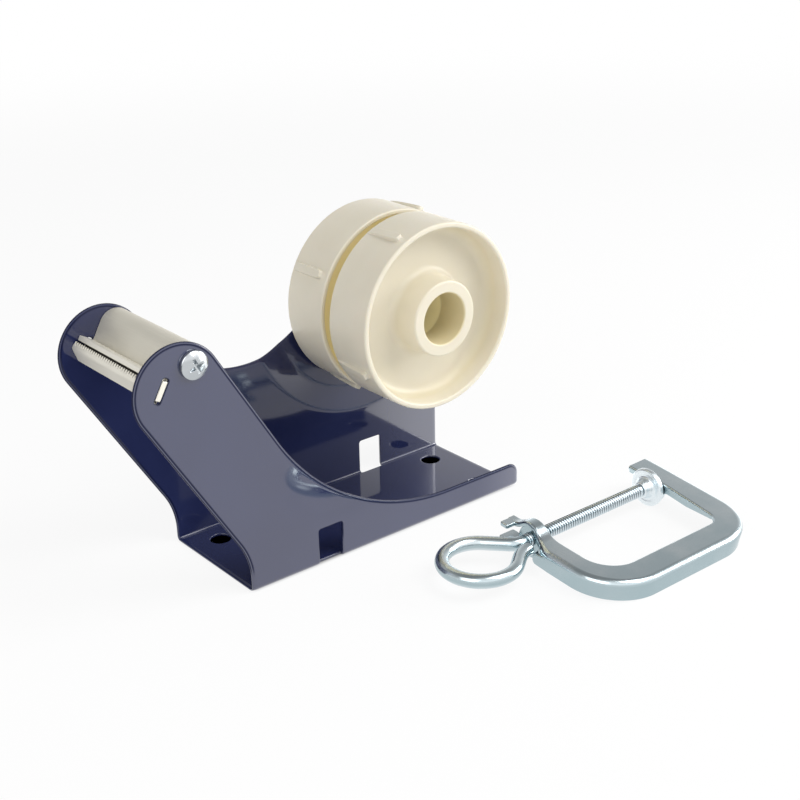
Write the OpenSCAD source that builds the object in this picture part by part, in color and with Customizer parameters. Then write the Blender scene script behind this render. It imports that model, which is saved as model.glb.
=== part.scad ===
// Clamp-on bench dispenser for one roll of packing tape, with its loose screw clamp lying beside it.
// Millimetres. Origin: centre of the underside of the base plate.
// +X runs from the cutting nose to the rear, -Y is the low loading side, +Z is up.

/* [Sheet frame] */
// Length of the base plate
base_l = 134; // [126:1:146]
// Width over the two walls
base_w = 54; // [50:1:60]
// Thickness of the frame sheet
sheet_t = 1.2; // [1:0.1:1.6]
// Inside radius of the two bends
bend_r = 1; // [0.6:0.1:2]
// Height of the low lip on the loading side
lip_h = 11; // [8:0.5:14]
// Corner radius at the rear end of the lip
lip_end_r = 5; // [2:0.5:7]

/* [Nose arm] */
// Reach of the nose centre in front of the base centre
nose_reach = 90.3; // [88:0.1:94]
// Height of the nose centre
nose_z = 86.4; // [82:0.1:92]
// Radius of the rounded nose
nose_r = 17.4; // [16.5:0.1:19]
// Slope of the arm above the base plate in degrees
arm_angle = 59; // [56:0.5:62]
// Radius of the sweep from the arm into the lip
sweep_r = 94.5; // [80:0.5:100]
// Radius where the arm leaves the front end of the base
foot_r = 30; // [10:1:40]

/* [Tall wall] */
// Position of the axle along the base
axle_x = 26.8; // [22:0.1:30]
// Height of the axle above the table
axle_z = 84.2; // [78:0.1:90]
// Radius of the rounded top around the axle
lobe_r = 18; // [15:0.5:22]
// Radius of the valley between nose and top
valley_r = 46; // [40:0.5:52]
// Height where the rear edge begins to slope
rear_edge_z = 44; // [36:1:50]
// Radius of the bend in the rear edge
rear_edge_r = 20; // [8:1:24]
// Depth of the round dish pressed outward behind the hub
dish_depth = 2; // [1:0.1:2.5]
// Radius of the flat floor of the dish
dish_floor_r = 43; // [41:0.5:45]
// Radius of the dish at the wall
dish_rim_r = 53.4; // [50:0.1:56]

/* [Openings in the sheet] */
// Width of a clamp slot
slot_w = 11; // [9:0.1:13]
// Height of a clamp slot above the table
slot_h = 15.3; // [13:0.1:18]
// Corner radius at the top of a clamp slot
slot_r = 1; // [0.5:0.1:2]
// Position of the slot in the low wall
near_slot_x = -30.9; // [-36:0.1:-26]
// Position of the slot in the tall wall
far_slot_x = 29.5; // [24:0.1:36]
// Distance of the base holes from the middle, along the base
hole_x = 54.4; // [48:0.1:58]
// Distance of the base holes from the middle, across the base
hole_y = 15; // [11:0.1:17]
// Radius of the base holes
hole_r = 4; // [3:0.1:5]

/* [Nose parts] */
// Reach of the spacer axis in front of the base centre
spacer_reach = 84.3; // [83:0.1:85.5]
// Height of the spacer axis
spacer_z = 94.8; // [93.5:0.1:95.5]
// Radius of the nose spacer
spacer_r = 5.55; // [5:0.05:6]
// Thickness of the nose plate
nose_sheet_t = 1; // [0.8:0.1:1.2]
// Angle at which the curl of the nose plate begins
curl_from = -80; // [-110:5:-40]
// Angle at which the curl runs out into the straight leg
curl_to = 150; // [146:1:154]
// Length of the straight leg
leg_l = 15; // [12:0.5:16]
// Radius of the nose screws
nose_screw_r = 3; // [2.5:0.1:3.2]
// Length of the nose screws in the spacer
nose_screw_l = 12; // [8:0.5:16]
// Radius of the nose screw heads
nose_head_r = 5.2; // [4.8:0.1:5.6]
// Height of the nose screw heads
nose_head_h = 3.2; // [2.6:0.1:3.8]

/* [Cutter] */
// Distance of the cutter lip down the leg
lip_at = 7.4; // [6.5:0.1:8.5]
// Thickness of the hemmed back leaf, the lip and the end tabs
hem_t = 2; // [1.6:0.1:2.4]
// Height of the back leaf
leaf_h = 9.1; // [8.8:0.1:10]
// Depth of the lip the tape end rests on
lip_d = 5.8; // [5:0.1:6.4]
// Thickness of the tooth strip
blade_t = 1; // [0.8:0.1:1.2]
// Reach of the tooth strip in front of the leg
blade_out = 6.7; // [6.2:0.1:7.4]
// Drop from the lip top to the tooth tips
tip_drop = 2.5; // [2.2:0.1:3.2]
// Height of the teeth
tooth_h = 1.5; // [1:0.1:1.6]
// Number of teeth across the blade
tooth_n = 34; // [24:1:44]
// Height of the end tabs
tab_h = 8; // [6:0.1:8.6]
// Free length of the tab slot below a tab
tab_slack = 1.2; // [0.8:0.1:1.6]

/* [Tape hub] */
// Radius of the wheel rims
rim_r = 37; // [36:0.1:37.4]
// Thickness of the wheel rims
rim_t = 2.2; // [1.6:0.1:3]
// Distance of a rim from each end of its boss
rim_inset = 2.5; // [1.5:0.1:3.5]
// Thickness of the wheel webs
web_t = 2.2; // [1.6:0.1:3]
// Radius of the wheel bosses
boss_r = 15.2; // [13.5:0.1:17]
// Radius of the fillet where the boss meets the web
boss_fillet = 3; // [1:0.1:5]
// Rounding of the moulded edges
edge_r = 0.6; // [0.3:0.1:0.9]
// Height of the core ribs at their front end
rib_h = 1.6; // [1:0.1:2]
// Width of the core ribs
rib_w = 3.6; // [2.5:0.1:5]
// Length of the core ribs
rib_l = 18; // [14:0.5:19]
// Direction of the first rib on the rear wheel
rear_rib_angle = 63; // [0:1:89]
// Direction of the first rib on the front wheel
front_rib_angle = 26; // [0:1:89]

/* [Axle] */
// Radius of the sleeve inside the wheels
sleeve_r = 10.18; // [9.6:0.01:11]
// Length of the sleeve inside the front wheel
sleeve_grip = 5; // [4:0.5:6]
// Radius of the axle bolt
bolt_r = 4; // [3.8:0.1:4]
// Width of the bolt head and of the nut across the flats
hex_af = 13; // [12:0.1:13.4]
// Height of the bolt head
bolt_head_h = 5.3; // [4.6:0.1:5.6]
// Radius of the two steel washers
washer_r = 8; // [7.6:0.1:8.2]
// Thickness of the two steel washers
washer_t = 1.6; // [1.2:0.1:1.8]
// Radius of the friction washer at the wall
friction_r = 14; // [11:0.5:15]
// Thickness of the two friction washers
friction_t = 0.5; // [0.4:0.1:1]
// Thickness of the disc spring
spring_t = 0.8; // [0.5:0.1:1.2]
// Rise of the disc spring
spring_rise = 0.4; // [0.2:0.1:0.8]
// Height of the lock nut
nut_h = 8; // [7:0.1:9]
// Height of the nylon ring in the lock nut
insert_h = 2; // [1.5:0.1:2.5]
// Length of bolt beyond the lock nut
bolt_out = 1.4; // [0.5:0.1:4]

/* [Clamp frame] */
// Position of the screw end of the clamp
clamp_x = 20.7; // [10:0.1:40]
// Position of the back of the clamp in front of the dispenser
clamp_front = 124; // [116:0.5:140]
// Length over the ends of the two arms
clamp_l = 86.9; // [80:0.1:96]
// Length of the arms
arm_l = 61.5; // [59:0.1:66]
// Height of the bent section
section_h = 8; // [7:0.1:9]
// Thickness of the clamp sheet
clamp_t = 1.8; // [1.4:0.1:2.2]
// Width of the clamp back
spine_w = 12; // [10:0.1:14]
// Width of the arm that carries the screw
screw_arm_w = 9.4; // [8.5:0.1:11]
// Width of the fixed jaw arm at its end
jaw_arm_w = 12.2; // [11:0.1:13]
// Outward lean of the fixed jaw arm in degrees
jaw_lean = 3.7; // [0.5:0.1:5]
// Taper of the inner edge of the fixed jaw arm in degrees
jaw_taper = 7; // [1:0.5:8]
// Where the taper ends, measured from the clamp back
taper_to = 41; // [38:0.5:41.5]
// Radius of the outer corners
outer_corner_r = 22; // [16:0.5:24]
// Radius of the inner corner at the screw arm
screw_corner_r = 12.8; // [8:0.1:15]
// Radius of the inner corner at the jaw arm
jaw_corner_r = 6; // [3:0.1:9]
// Distance of the screw axis from the ends of the arms
screw_in = 11.8; // [10.5:0.1:12.5]
// Length of the bent-down jaw face
anvil_l = 12; // [10:0.5:14]
// Depth of the notch that makes room for the handle
notch_d = 5.6; // [5:0.1:6]
// Distance from the clamp back to where the screw arm narrows
narrow_from = 34; // [33:0.5:35]
// Length over which it narrows
narrow_l = 14; // [13:0.5:15]
// Distance from the clamp back to the end of the web
web_l = 42; // [41:0.1:42.5]
// Height of the web beside the narrow part
web_end_h = 5; // [4:0.1:6]
// Radius in the corners of the notch
notch_r = 1.2; // [0.6:0.1:1.5]
// Length of the ears beyond the notch
ear_l = 4; // [3:0.1:4.4]
// Distance of the ears from the screw end of the clamp
ear_u = 1.6; // [1.4:0.1:2.4]
// Start of the lower tongue along the arm
tongue_from = 36; // [30:0.5:38]
// Wall of the arch around the screw
arch_t = 4.6; // [3:0.1:5.5]
// Height of the slit between the two halves of the arch
slit_h = 1.6; // [1:0.1:2]

/* [Clamp screw] */
// Radius of the clamp screw
screw_r = 2.7; // [2.5:0.1:2.8]
// Distance of the handle fork from the screw end of the clamp
fork_u = 0.4; // [-1:0.1:1]
// Radius of the handle rod
rod_r = 2.75; // [2.5:0.05:2.9]
// Radius of the knuckle where the rod closes on the screw
knuckle_r = 3.3; // [3.1:0.1:3.6]
// Radius of the handle loop at the middle of the rod
loop_r = 14; // [12:0.1:16]
// Distance from the fork to the centre of the loop
loop_at = 19.6; // [18.5:0.1:24]
// Turn of the loop out of the plane of the clamp in degrees
loop_turn = -4; // [-20:1:20]
// Radius of the pad
pad_r = 8; // [7:0.1:9]
// Thickness of the pad disc
pad_t = 2.2; // [1.8:0.1:2.6]
// Radius of the collar on the pad
collar_r = 5; // [4.6:0.1:5.6]
// Length of the collar on the pad
collar_l = 3.6; // [3.2:0.1:4.4]
// Radius of the neck of the screw
neck_r = 1.9; // [1.6:0.1:2]
// Gap between pad and jaw as it lies
jaw_gap = 0.4; // [0.3:0.1:2]

/* [Fits] */
// Gap around parts that are riveted or screwed together
seat_gap = 0.02; // [0.01:0.01:0.05]
// Radial gap of a turning fit
run_gap = 0.06; // [0.03:0.01:0.1]
// End gap of a turning part
end_gap = 0.1; // [0.1:0.05:0.3]
// Gap of a tab in its slot
tab_gap = 0.15; // [0.1:0.05:0.3]
// Radial gap of a bolt in a sheet hole
hole_gap = 0.2; // [0.1:0.05:0.4]

/* [Hidden] */
$fn = 64;
eps = 0.01;
wall_in = base_w / 2 - sheet_t;
bend_out = bend_r + sheet_t;
base_end = base_l / 2;

// Side view points are [along X, up Z]. "along" runs down the arm, "across" to its upper edge.
nose_c = [-nose_reach, nose_z];
along = [cos(arm_angle), -sin(arm_angle)];
across = [sin(arm_angle), cos(arm_angle)];
across_dir = 90 - arm_angle;
nose_low = nose_c - nose_r * across;
arm_foot = nose_low + along * (-base_end - nose_low[0]) / along[0];
foot_c = arm_foot - [foot_r, foot_r * tan(across_dir / 2)];
sweep_z = lip_h + sweep_r;
sweep_c = [(nose_r + sweep_r - (sweep_z - nose_z) * across[1]) / across[0] - nose_reach, sweep_z];

axle = [axle_x, axle_z];
valley_0 = nose_c + (nose_r + valley_r) * across;
valley_q = valley_0 - axle;
valley_s = -valley_q * along
    - sqrt(pow(valley_q * along, 2) - valley_q * valley_q + pow(valley_r + lobe_r, 2));
valley_c = valley_0 + valley_s * along;
valley_dir = atan2(axle[1] - valley_c[1], axle[0] - valley_c[0]);
rear_pt = [base_end, rear_edge_z];
rear_v = rear_pt - axle;
rear_turn = atan2(rear_v[1], rear_v[0]) + acos(lobe_r / norm(rear_v));
rear_tan = rear_edge_r * tan(rear_turn / 2);

spacer_c = [-spacer_reach, spacer_z];
curl_in = spacer_r + seat_gap;
curl_out = curl_in + nose_sheet_t;
nose_half = wall_in - end_gap;

dish_in = wall_in + dish_depth;
dish_out = dish_in + sheet_t;
hub_back = dish_in - friction_t - end_gap;
wheel_l = hub_back;
wheel_bore = sleeve_r + seat_gap;
rim_w = wheel_l - 2 * rim_inset;
web_at = wheel_l / 2 - web_t / 2;
well_r = washer_r + 0.5;
head_seat = 0.5;
head_pack = head_seat + washer_t;
well_floor = head_pack + friction_t + end_gap;
spring_seat = dish_out + washer_t;
nut_seat = spring_seat + spring_rise + spring_t;
nut_bore = bolt_r + seat_gap;
insert_r = 5.4;
collar_in = 6.1;

axis_w = section_h / 2;
screw_v = arm_l - screw_in;
clamp_tilt = asin(pad_r / norm([screw_v, axis_w])) - atan2(axis_w, screw_v);
nut_bore_r = screw_r + run_gap;
arch_r = nut_bore_r + arch_t;
ear_from = arm_l - ear_l;
narrow_r = (narrow_l ^ 2 + notch_d ^ 2) / (4 * notch_d);
narrow_turn = 2 * atan(notch_d / narrow_l);
jaw_u = clamp_l - jaw_arm_w;
jaw_outer_c = [clamp_l - (outer_corner_r + (arm_l - outer_corner_r) * sin(jaw_lean)) / cos(jaw_lean),
    outer_corner_r];
jaw_inner_v = spine_w + jaw_corner_r;
jaw_inner_c = [jaw_u - (jaw_corner_r + (taper_to - jaw_inner_v) * sin(jaw_taper)) / cos(jaw_taper),
    jaw_inner_v];
pad_face = jaw_u - jaw_gap;
pad_back = pad_face - pad_t;
collar_end = pad_back - collar_l;
ball_r = neck_r + 0.8;
ball_l = 1.8;
socket_floor = pad_back + 0.4;
thread_end = collar_end - 0.5;
fork_turn = acos(loop_r / loop_at);
strand_l = sqrt(loop_at * loop_at - loop_r * loop_r);
// The straight ends run a hair thinner than the loop, the closing end thinnest, as drawn wire does.
strand_r = [rod_r - 0.05, rod_r - 0.2];

navy = [0.09, 0.12, 0.25];
cream = [0.90, 0.87, 0.78];
steel = [0.72, 0.71, 0.66];
zinc = [0.76, 0.79, 0.81];
black = [0.10, 0.10, 0.11];
nylon = [0.85, 0.86, 0.88];

// A side view sketch given thickness between two Y positions.
module between(y0, y1) {
    translate([0, y1, 0])
        rotate([90, 0, 0])
            linear_extrude(y1 - y0)
                children();
}

// A turned shape about the axle, its height measured along +Y.
module about_axle() {
    translate([axle_x, 0, axle_z])
        rotate([-90, 0, 0])
            children();
}

// A turned shape about the nose spacer, its height measured along +Y.
module about_spacer() {
    translate([spacer_c[0], 0, spacer_c[1]])
        rotate([-90, 0, 0])
            children();
}

// The sketch frame of the nose leg: x out of its face, y down the leg.
module at_leg() {
    translate(spacer_c)
        rotate(curl_to)
            children();
}

// The clamp as it lies on the table: u along its back, v along its arms, w up through its section.
module lay_clamp() {
    translate([clamp_x, -clamp_front, 0])
        rotate([clamp_tilt, 0, 0])
            children();
}

// A turned shape about the clamp screw, its height measured along u.
module about_screw() {
    lay_clamp()
        translate([0, screw_v, axis_w])
            rotate([0, 90, 0])
                children();
}

module tube(r_in, r_out, y0, y1) {
    translate([0, 0, y0])
        difference() {
            cylinder(r = r_out, h = y1 - y0);
            translate([0, 0, -1])
                cylinder(r = r_in, h = y1 - y0 + 2);
        }
}

// A rectangle with four round corners.
module soft_box(x0, y0, x1, y1, r) {
    translate([x0 + r, y0])
        square([x1 - x0 - 2 * r, y1 - y0]);
    translate([x0, y0 + r])
        square([x1 - x0, y1 - y0 - 2 * r]);
    for (x = [x0 + r, x1 - r])
        for (y = [y0 + r, y1 - r])
            translate([x, y])
                circle(r);
}

// The channel across the walls, open at the top: half width w, bottom at z.
module trough(w, z, r) {
    translate([-w, z + r])
        square([2 * w, nose_z + valley_r]);
    translate([r - w, z])
        square([2 * (w - r), r + 1]);
    for (y = [r - w, w - r])
        translate([y, z + r])
            circle(r);
}

// The bent sheet before its outlines are cut: base plate and two upright walls.
module bent_sheet() {
    translate([-nose_reach - nose_r - 1, 0, 0])
        rotate([90, 0, 90])
            linear_extrude(nose_reach + nose_r + 1 + base_end)
                difference() {
                    trough(base_w / 2, 0, bend_out);
                    trough(wall_in, sheet_t, bend_r);
                }
}

// Points of an arc about c, from one direction to another.
function arc(c, r, from, to, steps) =
    [for (i = [0 : steps]) let (a = from + (to - from) * i / steps) c + r * [cos(a), sin(a)]];

// The front end of the base, the foot and the round nose, the same on both walls.
front_edge = concat([[-base_end, -1]],
    arc(foot_c, foot_r, 0, across_dir, 10),
    arc(nose_c, nose_r, across_dir + 180, across_dir, 36));

// The low wall on the loading side.
module near_outline() {
    polygon(concat(front_edge,
        arc(sweep_c, sweep_r, across_dir + 180, 270, 24),
        arc([base_end, lip_h] - [lip_end_r, lip_end_r], lip_end_r, 90, 0, 12),
        [[base_end, -1]]));
}

// The tall wall that carries the axle.
module far_outline() {
    polygon(concat(front_edge,
        arc(valley_c, valley_r, across_dir + 180, 360 + valley_dir, 36),
        arc(axle, lobe_r, 180 + valley_dir, rear_turn, 28),
        arc(rear_pt - [rear_edge_r, rear_tan], rear_edge_r, rear_turn, 0, 8),
        [[base_end, -1]]));
}

// The sheet of the tall wall inside the rim of the dish.
module dish() {
    about_axle()
        rotate_extrude()
            polygon([[0, dish_in], [dish_floor_r, dish_in], [dish_rim_r, wall_in],
                [dish_rim_r, base_w / 2], [dish_floor_r, dish_out], [0, dish_out]]);
}

// An end tab of the cutter, or its slot with a gap all round and free length below.
module tab_outline(gap, slack) {
    at_leg()
        translate([curl_out + seat_gap - gap, lip_at - gap])
            square([hem_t + 2 * gap, tab_h + 2 * gap + slack]);
}

// A slot for the jaw of the clamp, seen from the side.
module slot_outline(x) {
    soft_box(x - slot_w / 2, -2, x + slot_w / 2, slot_h, slot_r);
}

module frame() {
    color(navy)
        difference() {
            union() {
                intersection() {
                    bent_sheet();
                    between(-base_w, 0)
                        near_outline();
                }
                difference() {
                    intersection() {
                        bent_sheet();
                        between(0, base_w)
                            far_outline();
                    }
                    about_axle()
                        translate([0, 0, wall_in - 1])
                            cylinder(r = dish_rim_r, h = sheet_t + 2);
                }
                intersection() {
                    dish();
                    between(0, base_w)
                        far_outline();
                }
            }
            for (x = [-hole_x, hole_x])
                for (y = [-hole_y, hole_y])
                    translate([x, y, -1])
                        cylinder(r = hole_r, h = sheet_t + 2);
            between(-base_w, bend_out - base_w / 2)
                slot_outline(near_slot_x);
            between(base_w / 2 - bend_out, base_w)
                slot_outline(far_slot_x);
            about_axle()
                translate([0, 0, wall_in])
                    cylinder(r = bolt_r + hole_gap, h = base_w);
            about_spacer()
                translate([0, 0, -base_w])
                    cylinder(r = nose_screw_r + hole_gap, h = 2 * base_w);
            between(-base_w, base_w)
                tab_outline(tab_gap, tab_slack);
        }
}

module nose_plate() {
    color(steel)
        between(-nose_half, nose_half)
            at_leg()
                polygon(concat(
                    arc([0, 0], curl_out, curl_from - curl_to, 0, 46),
                    [[curl_out, leg_l], [curl_in, leg_l]],
                    arc([0, 0], curl_in, 0, curl_from - curl_to, 46)));
}

// Sketch of the folded cutter strip: x out of the leg, y down the leg.
module cutter_section() {
    polygon([[0, 0], [lip_d, 0], [lip_d, hem_t], [hem_t, hem_t],
        [hem_t, leaf_h - 1.5 * blade_t], [blade_out - blade_t, tip_drop + tooth_h + 0.6],
        [blade_out - blade_t, tip_drop], [blade_out, tip_drop],
        [blade_out, tip_drop + tooth_h + 1.1], [hem_t + 0.4, leaf_h], [0, leaf_h]]);
}

// What is cut away between the teeth: x across the dispenser, y from the tips down.
module tooth_gaps() {
    flank = nose_half / tooth_n;
    end = nose_half + flank;
    polygon(concat(
        [[end, 2 * tooth_h], [end, -1], [-end, -1], [-end, 2 * tooth_h]],
        [for (i = [1 : 2 * tooth_n - 1]) [-nose_half + i * flank, i % 2 == 0 ? tooth_h : 0]]));
}

module cutter_blade() {
    color(steel)
        difference() {
            union() {
                between(-nose_half, nose_half)
                    at_leg()
                        translate([curl_out + seat_gap, lip_at])
                            cutter_section();
                between(-base_w / 2, base_w / 2)
                    tab_outline(0, 0);
            }
            translate([spacer_c[0], 0, spacer_c[1]])
                rotate([0, -curl_to, 0])
                    translate([curl_out + seat_gap + blade_out + 1, 0, lip_at + tip_drop])
                        rotate([90, 0, -90])
                            linear_extrude(blade_t + 1.1)
                                tooth_gaps();
        }
}

module nose_spacer() {
    color(zinc)
        about_spacer()
            difference() {
                translate([0, 0, -nose_half])
                    cylinder(r = spacer_r, h = 2 * nose_half);
                for (y = [-nose_half - 1, nose_half - nose_screw_l])
                    translate([0, 0, y])
                        cylinder(r = nose_screw_r + seat_gap, h = nose_screw_l + 1);
            }
}

// One pan head screw, its head up and its seat at height zero.
module nose_screw() {
    difference() {
        union() {
            translate([0, 0, 1 - nose_screw_l])
                cylinder(r = nose_screw_r, h = nose_screw_l);
            rotate_extrude()
                intersection() {
                    square([nose_head_r, nose_head_h]);
                    translate([0, nose_head_h - 1.6 * nose_head_r])
                        circle(1.6 * nose_head_r);
                }
        }
        for (turn = [20, 110])
            rotate(turn)
                translate([-0.6 * nose_head_r, -0.6, 0.35 * nose_head_h])
                    cube([1.2 * nose_head_r, 1.2, nose_head_h]);
    }
}

module nose_screws() {
    color(zinc)
        translate([spacer_c[0], 0, spacer_c[1]]) {
            translate([0, -base_w / 2, 0])
                rotate([90, 0, 0])
                    nose_screw();
            translate([0, base_w / 2, 0])
                rotate([-90, 0, 0])
                    nose_screw();
        }
}

// One moulded wheel with its bore, its back end at height zero.
module wheel(rib_angle) {
    rotate_extrude() {
        soft_box(wheel_bore, 0, boss_r, wheel_l, edge_r);
        soft_box(rim_r - rim_t, rim_inset, rim_r, wheel_l - rim_inset, edge_r);
        translate([boss_r - 1, web_at])
            square([rim_r - rim_t - boss_r + 2, web_t]);
        difference() {
            translate([boss_r - eps, web_at - boss_fillet])
                square([boss_fillet + eps, web_t + 2 * boss_fillet]);
            for (y = [web_at - boss_fillet, web_at + web_t + boss_fillet])
                translate([boss_r + boss_fillet, y])
                    circle(boss_fillet);
        }
    }
    for (turn = [0, 90, 180, 270])
        rotate(rib_angle + turn)
            translate([rim_r - rim_t / 2, rib_w / 2, rim_inset + edge_r])
                rotate([90, 0, 0])
                    linear_extrude(rib_w)
                        polygon([[0, 0], [rim_t / 2, 0], [rim_t / 2 + rib_h, rib_l], [0, rib_l]]);
}

module rear_wheel() {
    color(cream)
        translate([axle_x, hub_back, axle_z])
            rotate([90, 0, 0])
                wheel(rear_rib_angle);
}

module front_wheel() {
    color(cream)
        translate([axle_x, 0, axle_z])
            rotate([90, 0, 0])
                wheel(front_rib_angle);
}

module hub_sleeve() {
    color(black)
        about_axle()
            difference() {
                translate([0, 0, -sleeve_grip])
                    cylinder(r = sleeve_r, h = hub_back + sleeve_grip);
                translate([0, 0, -sleeve_grip - 1])
                    cylinder(r = well_r, h = well_floor + sleeve_grip + 1);
                cylinder(r = bolt_r + run_gap, h = base_w);
            }
}

module axle_bolt() {
    color(zinc)
        about_axle() {
            translate([0, 0, head_seat - bolt_head_h])
                cylinder(r = hex_af / sqrt(3), h = bolt_head_h, $fn = 6);
            translate([0, 0, head_seat - 1])
                cylinder(r = bolt_r, h = nut_seat + nut_h + bolt_out - head_seat + 1);
        }
}

module head_washer() {
    color(zinc)
        about_axle()
            tube(bolt_r + hole_gap, washer_r, head_seat, head_pack);
}

module head_friction_washer() {
    color(black)
        about_axle()
            tube(bolt_r + hole_gap, washer_r, head_pack, head_pack + friction_t);
}

module wall_friction_washer() {
    color(black)
        about_axle()
            tube(bolt_r + hole_gap, friction_r, dish_in - friction_t, dish_in);
}

module outer_washer() {
    color(zinc)
        about_axle()
            tube(bolt_r + hole_gap, washer_r, dish_out, spring_seat);
}

// A coned washer that keeps the drag even as the friction washers wear.
module disc_spring() {
    color(zinc)
        about_axle()
            translate([0, 0, spring_seat])
                rotate_extrude()
                    polygon([[bolt_r + hole_gap, spring_rise], [washer_r, 0], [washer_r, spring_t],
                        [bolt_r + hole_gap, spring_rise + spring_t]]);
}

module lock_nut() {
    color(zinc)
        about_axle()
            translate([0, 0, nut_seat])
                difference() {
                    union() {
                        cylinder(r = hex_af / sqrt(3), h = nut_h - insert_h - 0.6, $fn = 6);
                        cylinder(r = collar_in, h = nut_h);
                    }
                    translate([0, 0, -1])
                        cylinder(r = nut_bore, h = nut_h + 2);
                    translate([0, 0, nut_h - insert_h - 0.3])
                        cylinder(r = insert_r, h = insert_h + 1);
                }
}

module lock_nut_insert() {
    color(nylon)
        about_axle()
            tube(nut_bore, insert_r - seat_gap, nut_seat + nut_h - insert_h - 0.3, nut_seat + nut_h - 0.3);
}

// The two outer corners of the clamp and the outer edge of the jaw arm, moved inward by t.
function clamp_edge(t, v) = concat(
    arc([outer_corner_r, outer_corner_r], outer_corner_r - t, 180, 270, 24),
    arc(jaw_outer_c, outer_corner_r - t, 270, 360 - jaw_lean, 24),
    [[jaw_outer_c[0] + (outer_corner_r - t + (v - outer_corner_r) * sin(jaw_lean)) / cos(jaw_lean), v]]);

// The clamp seen from above: outer edge, throat, ears and notch.
module clamp_plan() {
    polygon(concat(clamp_edge(0, arm_l),
        [[jaw_u, arm_l]],
        [[jaw_u, taper_to]],
        arc(jaw_inner_c, jaw_corner_r, -jaw_taper, -90, 12),
        arc([screw_arm_w + screw_corner_r, spine_w + screw_corner_r], screw_corner_r, 270, 180, 16),
        [[screw_arm_w, arm_l], [ear_u, arm_l], [ear_u, ear_from]],
        arc([notch_d - notch_r, ear_from - notch_r], notch_r, 90, 0, 6),
        arc([notch_d - narrow_r, narrow_from + narrow_l], narrow_r, 0, -narrow_turn, 8),
        arc([narrow_r, narrow_from], narrow_r, 180 - narrow_turn, 180, 8)));
}

// All that lies inside the outer web of the clamp.
module clamp_inside() {
    polygon(concat(clamp_edge(clamp_t, arm_l + 1),
        [[-1, arm_l + 1], [-1, narrow_from], [clamp_t, narrow_from]]));
}

module clamp_frame() {
    color(zinc)
        lay_clamp()
            difference() {
                union() {
                    translate([0, 0, section_h - clamp_t])
                        linear_extrude(clamp_t)
                            clamp_plan();
                    linear_extrude(section_h)
                        difference() {
                            clamp_plan();
                            clamp_inside();
                        }
                    translate([0, narrow_from - 1, 0])
                        cube([clamp_t, web_l - narrow_from + 1, web_end_h]);
                    linear_extrude(clamp_t)
                        intersection() {
                            clamp_plan();
                            translate([0, tongue_from])
                                square([screw_arm_w, arm_l]);
                        }
                    translate([jaw_u, screw_v - anvil_l / 2, 0])
                        cube([clamp_t, anvil_l, section_h]);
                    translate([notch_d, screw_v, axis_w])
                        rotate([0, 90, 0])
                            cylinder(r = arch_r, h = screw_arm_w - notch_d);
                }
                translate([-1, screw_v, axis_w])
                    rotate([0, 90, 0])
                        cylinder(r = nut_bore_r, h = screw_arm_w + 2);
                translate([notch_d - 1, screw_v - arch_r - 1, axis_w - slit_h / 2])
                    cube([screw_arm_w, 2 * arch_r + 2, slit_h]);
            }
}

module clamp_screw() {
    color(zinc)
        about_screw() {
            translate([0, 0, fork_u])
                cylinder(r = screw_r, h = thread_end - fork_u);
            translate([0, 0, thread_end - 1])
                cylinder(r = neck_r, h = socket_floor - end_gap - thread_end + 1);
            translate([0, 0, socket_floor - end_gap - ball_l])
                cylinder(r = ball_r, h = ball_l);
            translate([0, 0, fork_u])
                sphere(knuckle_r);
            rotate([90, 0, 90 + loop_turn])
                translate([0, fork_u - loop_at, 0]) {
                    rotate(90 + fork_turn)
                        rotate_extrude(angle = 360 - 2 * fork_turn)
                            translate([loop_r, 0])
                                circle(rod_r);
                    for (s = [0, 1])
                        translate([0, loop_at, 0])
                            rotate([90, 0, (2 * s - 1) * (90 - fork_turn)])
                                cylinder(r = strand_r[s], h = strand_l + 0.4);
                }
        }
}

module clamp_pad() {
    color(zinc)
        about_screw()
            difference() {
                rotate_extrude()
                    difference() {
                        union() {
                            soft_box(-pad_r, pad_back, pad_r, pad_face, 0.8);
                            soft_box(-collar_r, collar_end, collar_r, pad_face - 0.4, 0.8);
                        }
                        translate([-2 * pad_r, 0])
                            square([2 * pad_r, 2 * clamp_l]);
                    }
                translate([0, 0, collar_end - 1])
                    cylinder(r = neck_r + end_gap, h = collar_l);
                translate([0, 0, socket_floor - ball_l - 2 * end_gap])
                    cylinder(r = ball_r + 2 * end_gap, h = ball_l + 2 * end_gap);
            }
}

frame();
nose_plate();
cutter_blade();
nose_spacer();
nose_screws();
rear_wheel();
front_wheel();
hub_sleeve();
axle_bolt();
head_washer();
head_friction_washer();
wall_friction_washer();
outer_washer();
disc_spring();
lock_nut();
lock_nut_insert();
clamp_frame();
clamp_screw();
clamp_pad();
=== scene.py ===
import math

import bpy
import numpy as np
from mathutils import Matrix, Vector
from mathutils.geometry import delaunay_2d_cdt


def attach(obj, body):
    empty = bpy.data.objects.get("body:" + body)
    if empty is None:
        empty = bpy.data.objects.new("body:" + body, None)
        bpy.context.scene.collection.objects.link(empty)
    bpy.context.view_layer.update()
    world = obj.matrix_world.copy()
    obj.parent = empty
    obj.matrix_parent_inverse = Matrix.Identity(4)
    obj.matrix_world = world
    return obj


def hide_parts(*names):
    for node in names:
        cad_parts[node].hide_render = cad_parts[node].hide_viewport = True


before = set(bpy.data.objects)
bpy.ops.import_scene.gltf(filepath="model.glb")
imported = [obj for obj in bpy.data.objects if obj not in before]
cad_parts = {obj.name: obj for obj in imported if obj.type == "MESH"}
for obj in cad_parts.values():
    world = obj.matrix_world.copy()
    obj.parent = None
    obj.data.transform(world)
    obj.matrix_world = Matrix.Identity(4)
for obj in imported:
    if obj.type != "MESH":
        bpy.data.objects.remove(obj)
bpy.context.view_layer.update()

# Everything is modelled in millimetres in the frame of the CAD and turned into metres at the end.
MM = 0.001

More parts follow.
